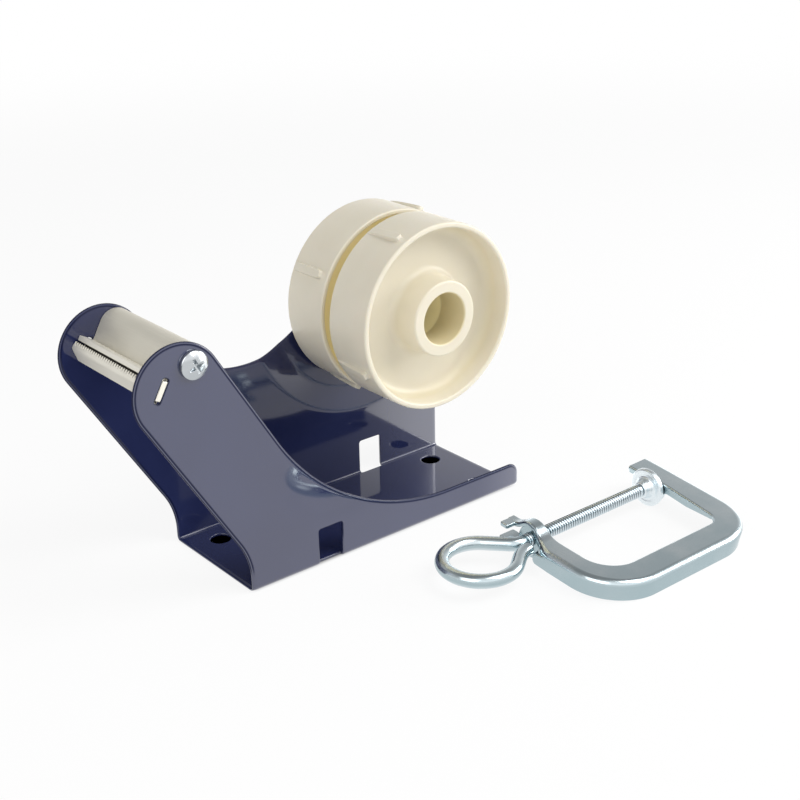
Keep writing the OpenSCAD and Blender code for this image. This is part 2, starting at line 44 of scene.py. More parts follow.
# Camera found from the photograph.
CAMERA_AT = (-297.2, -399.5, 259.2)
CAMERA_YAW = 38.956
CAMERA_PITCH = 22.889
CAMERA_ROLL = -1.207
LENS_MM = 61.47
SENSOR_MM = 36.0

# Sheet frame: base plate, low wall with its lip, tall wall with the pressed dish, slots and holes.
BASE_L, BASE_W = 134.0, 54.0
SHEET_T, BEND_R, BEND_ROWS = 1.2, 1.0, 6
LIP_H, LIP_END_R = 11.0, 5.0
NOSE_C, NOSE_R = np.array([-90.3, 86.4]), 17.4
ARM_ANGLE, SWEEP_R, FOOT_R = 59.0, 94.5, 30.0
AXLE, LOBE_R, VALLEY_R = np.array([26.8, 84.2]), 18.0, 46.0
REAR_EDGE_Z, REAR_EDGE_R = 44.0, 20.0
DISH_DEPTH, DISH_FLOOR_R, DISH_RIM_R, DISH_SOFT = 2.0, 43.0, 53.4, 1.3
SLOT_W, SLOT_H, SLOT_R = 11.0, 15.3, 1.0
NEAR_SLOT_X, FAR_SLOT_X = -30.9, 29.5
HOLE_X, HOLE_Y, HOLE_R = 54.4, 15.0, 4.0
AXLE_HOLE_R, SCREW_HOLE_R = 4.2, 3.2
ENAMEL_RIM, ENAMEL_SOFT = 0.5, 2.2

# Nose parts: curled guide plate, folded cutter with its tabs, and the two screws.
SPACER_C, SPACER_R = np.array([-84.3, 94.8]), 5.55
NOSE_SHEET_T, CURL_FROM, CURL_TO, LEG_L = 1.0, -80.0, 150.0, 15.0
LIP_AT, HEM_T, LEAF_H, LIP_D = 7.4, 2.0, 9.1, 5.8
BLADE_T, BLADE_OUT, TIP_DROP = 1.0, 6.7, 2.5
TOOTH_H, TOOTH_N, TOOTH_SHOULDER = 1.8, 34, 3.2
TAB_H, TAB_SLACK, TAB_GAP = 8.0, 0.8, 0.15
HEAD_R, HEAD_H, RECESS_L, RECESS_D, RECESS_TURN = 5.2, 3.2, 2.9, 1.9, 20.0
RECESS_HALF_W, RECESS_TAPER, RECESS_STEEP = 0.78, 0.3, 5.0
SEAT_GAP, END_GAP = 0.02, 0.1

# Tape hub: two wheels of rim, web and boss, with ribs on the rims.
RIM_R, RIM_T, RIM_INSET, WEB_T = 37.0, 2.2, 2.5, 2.2
BOSS_R, WHEEL_BORE, WHEEL_L = 15.2, 10.2, 27.2
WHEEL_EDGE_R, BACK_FILLET_R, CUP_FILLET_R, BOSS_FILLET_R = 0.8, 4.5, 4.5, 3.2
RIB_FROM, RIB_H, RIB_W, RIB_L = RIM_INSET + 0.6, 1.6, 3.6, 18.0
REAR_RIB_ANGLE, FRONT_RIB_ANGLE = 63.0, 26.0

# Clamp: bent bar with its arch round the screw, screw with its eye, and pad.
CLAMP_X, CLAMP_FRONT = 20.7, 124.0
CLAMP_L, ARM_L, SECTION_H, CLAMP_T = 86.9, 61.5, 8.0, 1.8
SPINE_W, SCREW_ARM_W, JAW_ARM_W = 12.0, 9.4, 12.2
JAW_LEAN, JAW_TAPER, TAPER_TO = 3.7, 7.0, 41.0
OUTER_CORNER_R, SCREW_CORNER_R, JAW_CORNER_R = 22.0, 12.8, 6.0
SCREW_V, ANVIL_L = ARM_L - 11.8, 12.0
NOTCH_D, NOTCH_R, EAR_L, EAR_U = 5.6, 1.2, 4.0, 1.6
NARROW_FROM, NARROW_L, WEB_L, WEB_END_H = 34.0, 14.0, 42.0, 5.0
TONGUE_FROM, ARCH_R, ARCH_BLEND = 36.0, 7.36, 8.0
CLAMP_BEND_R, CLAMP_RIM, THROAT_RIM, JAW_FLARE = 2.6, 0.4, 0.8, 1.3
STRAP_SINK, STRAP_RIM, ARCH_WIDER = 0.03, 0.4, 1.0
JAW_LIP_FROM, JAW_LIP_H, JAW_LIP_SINK = 16.0, 4.0, 0.2
SCREW_R, THREAD_PITCH, THREAD_DEPTH = 2.7, 1.25, 0.6
FORK_U, ROD_R, LOOP_R, LOOP_AT, LOOP_TURN, FORK_BEND_R = 0.4, 2.75, 14.0, 19.6, -4.0, 7.0
STRAND_OFF, STRAND_TIP_U, STRAND_TIP_V = 306.0, 2.4, -4.7
PAD_R, PAD_T, COLLAR_R, COLLAR_L, NECK_R, JAW_GAP = 8.0, 2.2, 5.0, 3.6, 1.9, 0.4

# Studio, in metres and watts: place, aim, width, height and power of each softbox.
SOFTBOXES = {"key": ((0.45, -0.7, 1.1), (0, -0.02, 0.04), 0.8, 0.8, 9.0),
             "fill": ((-0.9, -0.4, 0.7), (0, -0.02, 0.04), 0.8, 0.8, 3.5),
             "side": ((0.8, -0.45, 0.3), (0.04, 0, 0.03), 0.5, 0.4, 4.0)}
FLOOR_HALF, FLOOR_DROP, FLOOR_GLOW = 6.0, 0.0001, 0.88

# Sizes that follow from these.
WALL_IN = BASE_W / 2 - SHEET_T
BEND_OUT = BEND_R + SHEET_T
FLAT_HALF = BASE_W / 2 - BEND_OUT
BEND_ARC = BEND_OUT * math.pi / 2
WALL_SHIFT = FLAT_HALF + BEND_ARC - BEND_OUT
NOSE_HALF = WALL_IN - END_GAP
CURL_IN = SPACER_R + SEAT_GAP
CURL_OUT = CURL_IN + NOSE_SHEET_T
BLADE_FOOT, BLADE_KNEE = HEM_T + 0.4, TIP_DROP + TOOTH_H + 1.1
AXIS_W = SECTION_H / 2
JAW_U = CLAMP_L - JAW_ARM_W
CLAMP_TILT = math.asin(PAD_R / math.hypot(SCREW_V, AXIS_W)) - math.atan2(AXIS_W, SCREW_V)


def unit(vectors):
    vectors = np.asarray(vectors, float)
    return vectors / np.maximum(np.linalg.norm(vectors, axis=-1, keepdims=True), 1e-12)


def direction(degrees):
    return np.array([math.cos(math.radians(degrees)), math.sin(math.radians(degrees))])


def eased(value, low, high):
    """The way from low to high, as a smooth step from 0 to 1."""
    t = np.clip((np.asarray(value, float) - low) / (high - low), 0, 1)
    return t * t * (3 - 2 * t)


def arc(centre, radius, start, end, step=1.2):
    """Points of an arc between two directions in degrees, about step millimetres apart."""
    count = max(3, math.ceil(abs(math.radians(end - start)) * radius / step))
    return np.array([centre + radius * direction(a) for a in np.linspace(start, end, count + 1)])


def divide(loop, step):
    """A closed outline whose long edges are divided into edges of about step millimetres."""
    points = []
    for p, q in zip(loop, np.roll(loop, -1, axis=0)):
        count = math.ceil(round(np.linalg.norm(q - p) / step, 6))
        points += [p + (q - p) * i / count for i in range(count)]
    return np.array(points)


def refined(path, count):
    """A path with each of its edges divided into count equal ones."""
    points = [p for a, b in zip(path, path[1:]) for p in np.linspace(a, b, count + 1)[:-1]]
    return np.array(points + [path[-1]])


def distances(path):
    """How far each point of a path is from its start, along the path."""
    return np.concatenate([[0], np.cumsum(np.linalg.norm(np.diff(path, axis=0), axis=1))])


def rounded(corners, turn=12.0, closed=True):
    """An outline through corners (x, y, radius), each replaced by an arc of its radius."""
    points = []
    count = len(corners)
    for i, (x, y, r) in enumerate(corners):
        p = np.array([x, y], float)
        if r <= 0 or (not closed and i in (0, count - 1)):
            points.append(p)
            continue
        to_last = unit(np.array(corners[i - 1][:2]) - p)
        to_next = unit(np.array(corners[(i + 1) % count][:2]) - p)
        half = math.acos(np.clip(to_last @ to_next, -1, 1)) / 2
        centre = p + unit(to_last + to_next) * r / math.sin(half)
        start = p + to_last * r / math.tan(half) - centre
        end = p + to_next * r / math.tan(half) - centre
        first = math.degrees(math.atan2(start[1], start[0]))
        sweep = (math.degrees(math.atan2(end[1], end[0])) - first + 180) % 360 - 180
        steps = max(2, math.ceil(abs(sweep) / turn))
        points += [centre + r * direction(first + sweep * k / steps) for k in range(steps + 1)]
    return np.array(points)


def signed_area(loop):
    x, y = loop[:, 0], loop[:, 1]
    return 0.5 * float(np.sum(x * np.roll(y, -1) - y * np.roll(x, -1)))


def counter_clockwise(loop):
    return loop if signed_area(loop) > 0 else loop[::-1]


def clockwise(loop):
    return loop if signed_area(loop) < 0 else loop[::-1]


def inside_loops(points, loops):
    """Which points lie inside an odd number of the loops."""
    hit = np.zeros(len(points), bool)
    px, py = points[:, 0:1], points[:, 1:2]
    for loop in loops:
        a, b = loop, np.roll(loop, -1, axis=0)
        rise = np.where(np.abs(b[:, 1] - a[:, 1]) < 1e-12, 1e-12, b[:, 1] - a[:, 1])
        crosses = (a[:, 1] > py) != (b[:, 1] > py)
        crosses &= px < a[:, 0] + (py - a[:, 1]) * (b[:, 0] - a[:, 0]) / rise
        hit ^= crosses.sum(1) % 2 == 1
    return hit


class Shell:
    """Points, normals and faces of one piece."""

    def __init__(self):
        self.points, self.normals, self.faces = [], [], []

    def add(self, points, normals):
        first = len(self.points)
        self.points.extend(np.asarray(points, float).tolist())
        self.normals.extend(np.asarray(normals, float).tolist())
        return first

    def stitch(self, first, rows, columns, wrap_rows=False, wrap_columns=True):
        """Faces between rows of points, of which first is the number of the first one."""
        for i in range(rows if wrap_rows else rows - 1):
            for j in range(columns if wrap_columns else columns - 1):
                k, m = (i + 1) % rows, (j + 1) % columns
                self.faces.append([first + i * columns + j, first + i * columns + m,
                                   first + k * columns + m, first + k * columns + j])

    def grid(self, points, guide, wrap_rows=False, wrap_columns=True):
        """A grid of points (rows, columns, 3); guide says roughly which way is out."""
        rows, columns = points.shape[:2]

        def across(axis, wrap):
            before, after = np.roll(points, 1, axis), np.roll(points, -1, axis)
            if not wrap:
                ends = [slice(None)] * 3
                ends[axis] = 0
                before[tuple(ends)] = points[tuple(ends)]
                ends[axis] = -1
                after[tuple(ends)] = points[tuple(ends)]
            return after - before

        normals = np.cross(across(0, wrap_rows), across(1, wrap_columns))
        flat = np.linalg.norm(normals, axis=2, keepdims=True) < 1e-9
        normals = unit(np.where(flat, guide, normals))
        normals *= np.where(np.sum(normals * guide, 2, keepdims=True) < 0, -1.0, 1.0)
        first = self.add(points.reshape(-1, 3), normals.reshape(-1, 3))
        self.stitch(first, rows, columns, wrap_rows, wrap_columns)

    def cap(self, points, normal):
        """One flat face."""
        first = self.add(points, np.tile(normal, (len(points), 1)))
        self.faces.append(list(range(first, first + len(points))))

    def turned_out(self):
        """The faces, each with its corners in the order that agrees with the normals."""
        points, normals = np.array(self.points), np.array(self.normals)
        faces = []
        for face in self.faces:
            p = points[face]
            area = np.cross(p, np.roll(p, -1, axis=0)).sum(0)
            faces.append(face if area @ normals[face].sum(0) >= 0 else face[::-1])
        return faces

    def piece(self, name, body, material, slot, *nodes):
        mesh = bpy.data.meshes.new(name)
        mesh.from_pydata((np.array(self.points) * MM).tolist(), [], self.turned_out())
        mesh.materials.append(material)
        mesh.shade_smooth()
        mesh.normals_split_custom_set_from_vertices(unit(self.normals).tolist())
        made = bpy.data.objects.new(name, mesh)
        bpy.context.scene.collection.objects.link(made)
        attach(made, body)
        if nodes:
            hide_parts(*nodes)
        return made


def cut_sheet(shell, fold, loops, inside, thick, rim, steps=3, soft=None):
    """Cuts a flat pattern along loops, folds it and rounds its rims.

    The material lies to the left of each loop, fold(points, depth) puts pattern points in
    place, and inside holds further points that shape the folds. The rim of the first loop
    reaches in by soft, where that is given.
    """
    quarter = np.linspace(0, math.pi / 2, steps + 1)

    def rim_section(reach):
        """Inward offset, depth and tilt of the normal round a rim."""
        half = [(reach * (1 - math.sin(a)), rim * (1 - math.cos(a)),
                 math.atan2(rim * math.sin(a), reach * math.cos(a))) for a in quarter]
        return half + [(d, thick - e, math.pi - a) for d, e, a in reversed(half)]

    def outward(points, depth):
        h = 0.01
        along = fold(points + [h, 0], depth) - fold(points - [h, 0], depth)
        over = fold(points + [0, h], depth) - fold(points - [0, h], depth)
        normal = unit(np.cross(along, over))
        side = np.sum(normal * (fold(points, 0.0) - fold(points, thick)), 1, keepdims=True)
        return normal * np.where(side < 0, -1.0, 1.0)

    starts, trimmed = [], []
    for number, loop in enumerate(loops):
        reach = soft if soft and number == 0 else rim
        section = rim_section(reach)
        before = unit(loop - np.roll(loop, 1, axis=0))
        after = unit(np.roll(loop, -1, axis=0) - loop)
        left = [np.stack([-t[:, 1], t[:, 0]], 1) for t in (before, after)]
        inward = (left[0] + left[1]) / (1 + np.sum(left[0] * left[1], 1, keepdims=True))
        first = None
        for d, e, a in section:
            p = loop + d * inward
            edge = unit(fold(p - 0.01 * inward, e) - fold(p + 0.01 * inward, e))
            start = shell.add(fold(p, e), math.cos(a) * outward(p, e) + math.sin(a) * edge)
            first = start if first is None else first
        shell.stitch(first, len(section), len(loop))
        starts.append(first)
        trimmed.append(loop + reach * inward)

    inside = np.asarray(inside, float).reshape(-1, 2)
    if len(inside):
        inside = inside[inside_loops(inside, trimmed)]
        near = np.min([np.min(np.linalg.norm(inside[:, None] - t[None], axis=2), 1) for t in trimmed], 0)
        inside = inside[near > 0.35]
    given = np.concatenate(trimmed + [inside])
    edges, top, bottom = [], [], []
    count = 0
    for first, loop in zip(starts, trimmed):
        n = len(loop)
        edges += [(count + i, count + (i + 1) % n) for i in range(n)]
        top += range(first, first + n)
        bottom += range(first + (len(section) - 1) * n, first + len(section) * n)
        count += n
    for depth, skin, sense in ((0.0, top, 1.0), (thick, bottom, -1.0)):
        first = shell.add(fold(inside, depth), sense * outward(inside, depth)) if len(inside) else 0
        skin += range(first, first + len(inside))
    made = delaunay_2d_cdt([Vector(p) for p in given], edges, [], 0, 1e-6)
    places, triangles, origins = np.array([tuple(v) for v in made[0]]), np.array(made[2]), made[3]
    keep = inside_loops(places[triangles].mean(1), trimmed)
    for triangle in triangles[keep]:
        source = [origins[v][0] for v in triangle]
        shell.faces.append([top[v] for v in source])
        shell.faces.append([bottom[v] for v in reversed(source)])


def follow(path, place, right=False):
    """A fold along a path: pattern points are [distance along the path, position across it].

    Depth goes to the left of the path, or to its right; place(path x, path y, across) puts it
    in the frame. Returns the fold and the length of the path.
    """
    path = np.asarray(path, float)
    along = distances(path)
    tangent = unit(np.gradient(path, along, axis=0))
    side = np.stack([-tangent[:, 1], tangent[:, 0]], 1) * (-1 if right else 1)

    def fold(pattern, depth):
        s = pattern[:, 0]
        run = np.maximum(s - along[-1], 0) + np.minimum(s, 0)
        x, y = (np.interp(s, along, path[:, k]) + depth * np.interp(s, along, side[:, k])
                + run * np.interp(s, along, tangent[:, k]) for k in (0, 1))
        return place(x, y, pattern[:, 1])

    return fold, along[-1]


def lathe(shell, profile, place, angles=None, closed=True, bump=None):
    """Turns a profile of [radius, height] points; bump(radius, height, angle) adds to the radius."""
    profile = np.asarray(profile, float)
    if closed:
        profile = counter_clockwise(profile)
    angles = np.linspace(0, 2 * math.pi, 97)[:-1] if angles is None else np.asarray(angles)
    step = np.roll(profile, -1, axis=0) - np.roll(profile, 1, axis=0)
    if not closed:
        step[0], step[-1] = profile[1] - profile[0], profile[-1] - profile[-2]
    out = unit(np.stack([step[:, 1], -step[:, 0]], 1))
    radius = np.repeat(profile[:, :1], len(angles), 1)
    height = np.repeat(profile[:, 1:], len(angles), 1)
    if bump is not None:
        radius = radius + bump(radius, height, angles[None])
    turn_x, turn_y = np.cos(angles)[None], np.sin(angles)[None]
    points = np.stack([radius * turn_x, radius * turn_y, height], 2)
    guide = np.stack([out[:, :1] * turn_x, out[:, :1] * turn_y, out[:, 1:] + 0 * turn_x], 2)
    origin = place(np.zeros((1, 3)))
    shell.grid(place(points.reshape(-1, 3)).reshape(points.shape),
               (place(guide.reshape(-1, 3)) - origin).reshape(points.shape), wrap_rows=closed)
    if not closed:
        for row, inner in ((0, 1), (-1, -2)):
            normal = unit(place(np.array([[0, 0, profile[row, 1] - profile[inner, 1]]])) - origin)[0]
            if profile[row, 0] < 0.1:
                normal = unit(place(np.array([[0.0, 0.0, out[row, 1]]])) - origin)[0]
            shell.cap(place(points[row]), normal)


def tube(shell, path, radii, segments=28):
    """A round rod along a smooth path."""
    path = np.asarray(path, float)
    tangent = unit(np.gradient(path, axis=0))
    side = unit(np.cross(tangent[0], [0.31, 0.17, 0.93]))
    rings, guides = [], []
    turns = np.linspace(0, 2 * math.pi, segments + 1)[:-1]
    for p, t, r in zip(path, tangent, radii):
        side = unit(side - t * (side @ t))
        other = np.cross(t, side)
        ring = np.cos(turns)[:, None] * side + np.sin(turns)[:, None] * other
        rings.append(p + r * ring)
        guides.append(ring)
    shell.grid(np.array(rings), np.array(guides))
    shell.cap(rings[0], -tangent[0])
    shell.cap(rings[-1], tangent[-1])


def lay_clamp(u, v, w):
    """Clamp coordinates, u along its back, v along its arms and w up, in the frame."""
    c, s = math.cos(CLAMP_TILT), math.sin(CLAMP_TILT)
    return np.stack([CLAMP_X + u, v * c - w * s - CLAMP_FRONT, v * s + w * c], -1)


# Shader helper.


class Value:
    """A shader socket that can be reckoned with like a number."""

    def __init__(self, tree, socket):
        self.tree, self.socket = tree, socket

    def node(self, kind, sockets, settings=None, output=0):
        """The output of a new node; settings are set before its sockets."""
        made = self.tree.nodes.new("ShaderNode" + kind)
        for name, value in (settings or {}).items():
            setattr(made, name, value)
        for name, value in sockets.items():
            if isinstance(value, Value):
                self.tree.links.new(value.socket, made.inputs[name])
            else:
                made.inputs[name].default_value = value
        return Value(self.tree, made.outputs[output])

    def maths(self, operation, a, b=0.0):
        return self.node("Math", {0: a, 1: b}, {"operation": operation})

    def __add__(self, other):
        return self.maths("ADD", self, other)

    def __radd__(self, other):
        return self.maths("ADD", other, self)

    def __sub__(self, other):
        return self.maths("SUBTRACT", self, other)

    def __rsub__(self, other):
        return self.maths("SUBTRACT", other, self)

    def __mul__(self, other):
        return self.maths("MULTIPLY", self, other)

    def __rmul__(self, other):
        return self.maths("MULTIPLY", other, self)

    def __truediv__(self, other):
        return self.maths("DIVIDE", self, other)

    def __pow__(self, other):
        return self.maths("POWER", self, other)

    def __neg__(self):
        return 0.0 - self

    def __abs__(self):
        return self.maths("ABSOLUTE", self)

    def greater(self, other):
        return self.maths("MAXIMUM", self, other)

    def between(self, low, high, to_low=0.0, to_high=1.0):
        """This value's way from low to high, smoothed and clamped."""
        return self.node("MapRange", {"Value": self, "From Min": low, "From Max": high,
                                      "To Min": to_low, "To Max": to_high},
                         {"interpolation_type": "SMOOTHSTEP"})

    def mix(self, first, second):
        """A colour between two colours, by this value."""
        return self.node("Mix", {"Factor": self, 6: first, 7: second}, {"data_type": "RGBA"}, 2)

    def noise(self, scale, detail=2.0, roughness=0.5):
        return self.node("TexNoise", {"Vector": self, "Scale": scale, "Detail": detail,
                                      "Roughness": roughness})

    def part(self, number):
        """One of the three numbers of a vector."""
        return self.node("SeparateXYZ", {0: self}, output=number)

    def stretched(self, x, y, z):
        return self.node("VectorMath", {0: self, 1: (x, y, z)}, {"operation": "MULTIPLY"})

    def bump(self, strength, distance_mm):
        return self.node("Bump", {"Height": self, "Strength": strength, "Distance": distance_mm * MM})


def colour(r, g, b):
    return (r, g, b, 1.0)


def new_material(name, **constants):
    """A material, the position on the object in metres, and a way to feed its shader."""
    material = bpy.data.materials.new(name)
    material.use_nodes = True
    tree = material.node_tree
    shader = tree.nodes["Principled BSDF"]
    for socket, value in constants.items():
        shader.inputs[socket.replace("_", " ")].default_value = value
    place = Value(tree, tree.nodes.new("ShaderNodeTexCoord").outputs["Object"])

    def feed(**sockets):
        for socket, value in sockets.items():
            tree.links.new(value.socket, shader.inputs[socket.replace("_", " ")])

    return material, place, feed


def navy_enamel():
    """Stove enamel: deep navy under a glossy, uneven skin; rolled edges carry a painted dark band beside one
    glint, and inner faces a painted shade.
    """
    material, place, feed = new_material("navy_enamel", IOR=1.3, Coat_IOR=1.95, Coat_Roughness=0.06)
    cloud = place.noise(22.0, 3.0)
    skin = place.noise(70.0, 2.0) + place.noise(420.0, 2.0) * 0.12
    facing = place.node("NewGeometry", {}, output="Normal")
    ny, nz = facing.part(1), facing.part(2)
    x, y, z = (place.part(k) for k in range(3))
    # Inner faces of the walls and the base plate get a thinner coat, a painted shade that dims their
    # reflections, but not at the rear.
    inward = (y * ny).between(-2 * MM, -12 * MM).greater(nz.between(0.4, 0.8) * z.between(4 * MM, 2.5 * MM))
    rear = x.between(0.0, BASE_L / 2 * MM)
    # Faces that turn out of the plane of a wall are on a rolled edge; there the rims get painted shade,
    # except a narrow band of it that is left as the glint.
    tilt = 1.0 - abs(ny)
    glint = tilt.between(0.018, 0.032) * tilt.between(0.10, 0.06)
    rolled = (-y).between(0.0, 2 * MM).greater(x.between(-35 * MM, -45 * MM)) * z.between(6 * MM, 11 * MM)
    edge = rolled * tilt.between(0.002, 0.010) * (1.0 - glint)
    navy = cloud.between(0.3, 0.7).mix(colour(0.016, 0.021, 0.072), colour(0.021, 0.028, 0.088))
    # The darker navy and the missing coat on edge are painted shade.
    feed(Base_Color=edge.mix(navy, colour(0.008, 0.011, 0.040)),
         Roughness=place.noise(160.0, 3.0).between(0.3, 0.75, 0.07, 0.13),
         Coat_Weight=(0.95 - 0.58 * inward * (1.0 - rear)) * (1.0 - edge),
         Normal=skin.bump(0.05, 0.4))
    return material


def cutter_fold_shade(place):
    """Where the inside of the cutter's fold lies, behind its teeth and under its lip: the place of its
    painted shade.
    """
    x, y, z = (place.part(k) / MM for k in range(3))
    (ox, oz), (dx, dz) = direction(CURL_TO), direction(CURL_TO + 90)
    out = (x - SPACER_C[0]) * ox + (z - SPACER_C[1]) * oz - (CURL_OUT + SEAT_GAP)
    down = (x - SPACER_C[0]) * dx + (z - SPACER_C[1]) * dz - LIP_AT
    slant = unit([BLADE_FOOT - BLADE_OUT, LEAF_H - BLADE_KNEE])
    behind = (down - LEAF_H) * slant[0] - (out - BLADE_FOOT) * slant[1]
    return (out.between(BLADE_OUT - 0.3, BLADE_OUT - 0.7) * behind.between(0.3, 0.7)
            * down.between(HEM_T - 0.3, HEM_T) * abs(y).between(NOSE_HALF, NOSE_HALF - 0.2))


def nose_steel(name, pale=0.0, folded=False):
    """Bare rolled steel, warm and satin, with fine lines along the strip and painted shade in the cutter's
    fold.
    """
    material, place, feed = new_material(name, Metallic=0.5)
    lines = place.stretched(1.0, 0.03, 1.0).noise(2600.0, 3.0)
    cloud = place.noise(45.0, 2.0)
    dull, bright = ([c + pale for c in tone] for tone in ((0.66, 0.63, 0.54), (0.73, 0.70, 0.61)))
    sheet = (cloud * 0.6 + lines * 0.4).between(0.3, 0.7).mix(colour(*dull), colour(*bright))
    if folded:
        # Painted shade inside the cutter's fold.
        sheet = cutter_fold_shade(place).mix(sheet, colour(0.07, 0.065, 0.055))
    feed(Base_Color=sheet,
         Roughness=lines.between(0.3, 0.7, 0.42, 0.56),
         Normal=lines.bump(0.08, 0.05))
    return material


def zinc_plate(name, dull=(0.51, 0.61, 0.66), bright=(0.63, 0.70, 0.74), satin=0.18, side_shade=0.0,
               groove_shade=False):
    """Bright zinc plate with a bluish bloom, painted teal shade on its sides and painted shade in the grooves
    of a thread.
    """
    material, place, feed = new_material(name, Metallic=1.0)
    bloom = place.noise(60.0, 4.0)
    grain = place.noise(1500.0, 3.0)
    plate = bloom.between(0.3, 0.7).mix(colour(*dull), colour(*bright))
    if side_shade:
        # Painted teal shade on faces that turn to the sides.
        facing = place.node("NewGeometry", {}, output="Normal")
        side = abs(facing.part(2)).between(0.65, 0.05, 0.0, side_shade)
        plate = side.mix(plate, colour(0.33, 0.43, 0.46))
    if groove_shade:
        # Painted shade in the thread's grooves, by the distance from the screw's axis.
        axis = lay_clamp(0.0, SCREW_V, AXIS_W) * MM
        off_y, off_z = (place.part(k) - axis[k] for k in (1, 2))
        depth = (off_y * off_y + off_z * off_z) ** 0.5
        groove = depth.between((SCREW_R - 0.1) * MM, (SCREW_R - THREAD_DEPTH * 0.9) * MM)
        plate = groove.mix(plate, colour(0.16, 0.19, 0.21))
    feed(Base_Color=plate,
         Roughness=(bloom * 0.5 + grain * 0.5).between(0.3, 0.7, satin - 0.04, satin + 0.04),
         Normal=grain.bump(0.006, 0.05))
    return material


def cream_plastic():
    """Moulded cream plastic, pale where it is lit, with painted ochre shade in its hollows and a painted glow
    in the gap between the wheels.
    """
    material, place, feed = new_material("cream_plastic", IOR=1.5, Emission_Strength=0.16,
                                         Subsurface_Weight=0.12, Subsurface_Radius=(1.0, 0.75, 0.4),
                                         Subsurface_Scale=0.003)
    x, y, z = (place.part(k) for k in range(3))
    off_x, off_z = x - AXLE[0] * MM, z - AXLE[1] * MM
    radius = (off_x * off_x + off_z * off_z) ** 0.5
    within = radius.between((RIM_R - RIM_T) * MM, (RIM_R - RIM_T - 0.6) * MM)
    bore = radius.between((WHEEL_BORE + 0.8) * MM, WHEEL_BORE * MM)
    cup = (WHEEL_L - WEB_T) / 2 * MM
    gap = within * abs(y).between(cup + MM, cup)
    wall = within * radius.between((RIM_R - RIM_T - 5.0) * MM, (RIM_R - RIM_T - 1.0) * MM)
    # Painted shade: the bore, the gap between the wheels and the inner side of the rims are painted ochre.
    warm = (bore * 0.9).greater(gap).greater(0.1 * within + 0.3 * wall)
    mottle = place.noise(38.0, 4.0)
    skin = place.noise(900.0, 3.0)
    pale = mottle.between(0.25, 0.75).mix(colour(0.72, 0.67, 0.545), colour(0.77, 0.72, 0.60))
    feed(Base_Color=warm.mix(pale, colour(0.72, 0.63, 0.39)),
         # The gap between the wheels also gets a painted glow.
         Emission_Color=gap.mix(colour(0, 0, 0), colour(0.90, 0.80, 0.42)),
         Roughness=skin.between(0.3, 0.7, 0.3, 0.42),
         Normal=skin.bump(0.04, 0.05))
    return material


def plain_plastic(name, dark, light, rough):
    """A matt moulded or pressed material with a fine grain."""
    material, place, feed = new_material(name)
    grain = place.noise(1400.0, 4.0)
    feed(Base_Color=grain.between(0.3, 0.7).mix(colour(*dark), colour(*light)),
         Roughness=place.noise(300.0, 2.0).between(0.3, 0.7, rough - 0.06, rough + 0.06),
         Normal=grain.bump(0.1, 0.08))
    return material


NAVY, CREAM = navy_enamel(), cream_plastic()
STEEL, CUTTER_STEEL = nose_steel("nose_steel"), nose_steel("cutter_steel", pale=0.16, folded=True)
ZINC = zinc_plate("zinc_plate")
HEAD_ZINC = zinc_plate("screw_head_zinc", (0.50, 0.53, 0.55), (0.62, 0.64, 0.66), 0.2)
CLAMP_ZINC = zinc_plate("clamp_zinc", (0.55, 0.65, 0.69), (0.67, 0.74, 0.77), 0.2, 0.7)
# The pad's zinc is a paler copy of the clamp's zinc: painted light on the pad.
PAD_ZINC_LIT = zinc_plate("pad_zinc", (0.74, 0.81, 0.84), (0.83, 0.89, 0.92), 0.34)
THREAD = zinc_plate("zinc_thread", (0.61, 0.71, 0.76), (0.73, 0.80, 0.84), groove_shade=True)
BLACK = plain_plastic("black_plastic", (0.016, 0.016, 0.018), (0.026, 0.026, 0.028), 0.5)
FIBRE = plain_plastic("pressed_fibre", (0.06, 0.03, 0.022), (0.12, 0.07, 0.05), 0.8)
NYLON = plain_plastic("pale_nylon", (0.66, 0.70, 0.76), (0.76, 0.79, 0.83), 0.45)


# Sheet frame.


def dish(radius):
    """Depth of the pressed dish at a distance from the axle."""
    steep = DISH_DEPTH / (DISH_RIM_R - DISH_FLOOR_R)

    def ramp(edge):
        t = np.clip((radius - edge + DISH_SOFT) / (2 * DISH_SOFT), 0, 1)
        return np.maximum(radius - edge - DISH_SOFT, 0) + DISH_SOFT * t * t

    return DISH_DEPTH - steep * (ramp(DISH_FLOOR_R) - ramp(DISH_RIM_R))


def fold_frame(pattern, depth):
    """The flat pattern [x, distance across] folded into base plate, low wall and tall wall."""
    x, across = pattern[:, 0], pattern[:, 1]
    side = np.where(across < 0, -1.0, 1.0)
    reach = np.abs(across)
    turn = np.clip((reach - FLAT_HALF) / BEND_ARC, 0, 1) * math.pi / 2
    radius = BEND_OUT - depth
    y = np.minimum(reach, FLAT_HALF) + radius * np.sin(turn)
    z = BEND_OUT - radius * np.cos(turn) + np.maximum(reach - FLAT_HALF - BEND_ARC, 0)
    pressed = np.where(side > 0, dish(np.hypot(x - AXLE[0], z - AXLE[1])), 0.0)
    return np.stack([x, side * y + pressed, z], 1)


def on_wall(points, side):
    """Side view points [x, z] as pattern points on a wall."""
    points = np.asarray(points, float)
    return np.stack([points[:, 0], side * (points[:, 1] + WALL_SHIFT)], 1)


def at_leg(out, down):
    """A side view point given from the nose spacer: out of the leg's face and down along it."""
    o, d = direction(CURL_TO), direction(CURL_TO + 90)
    return SPACER_C + out * o + down * d


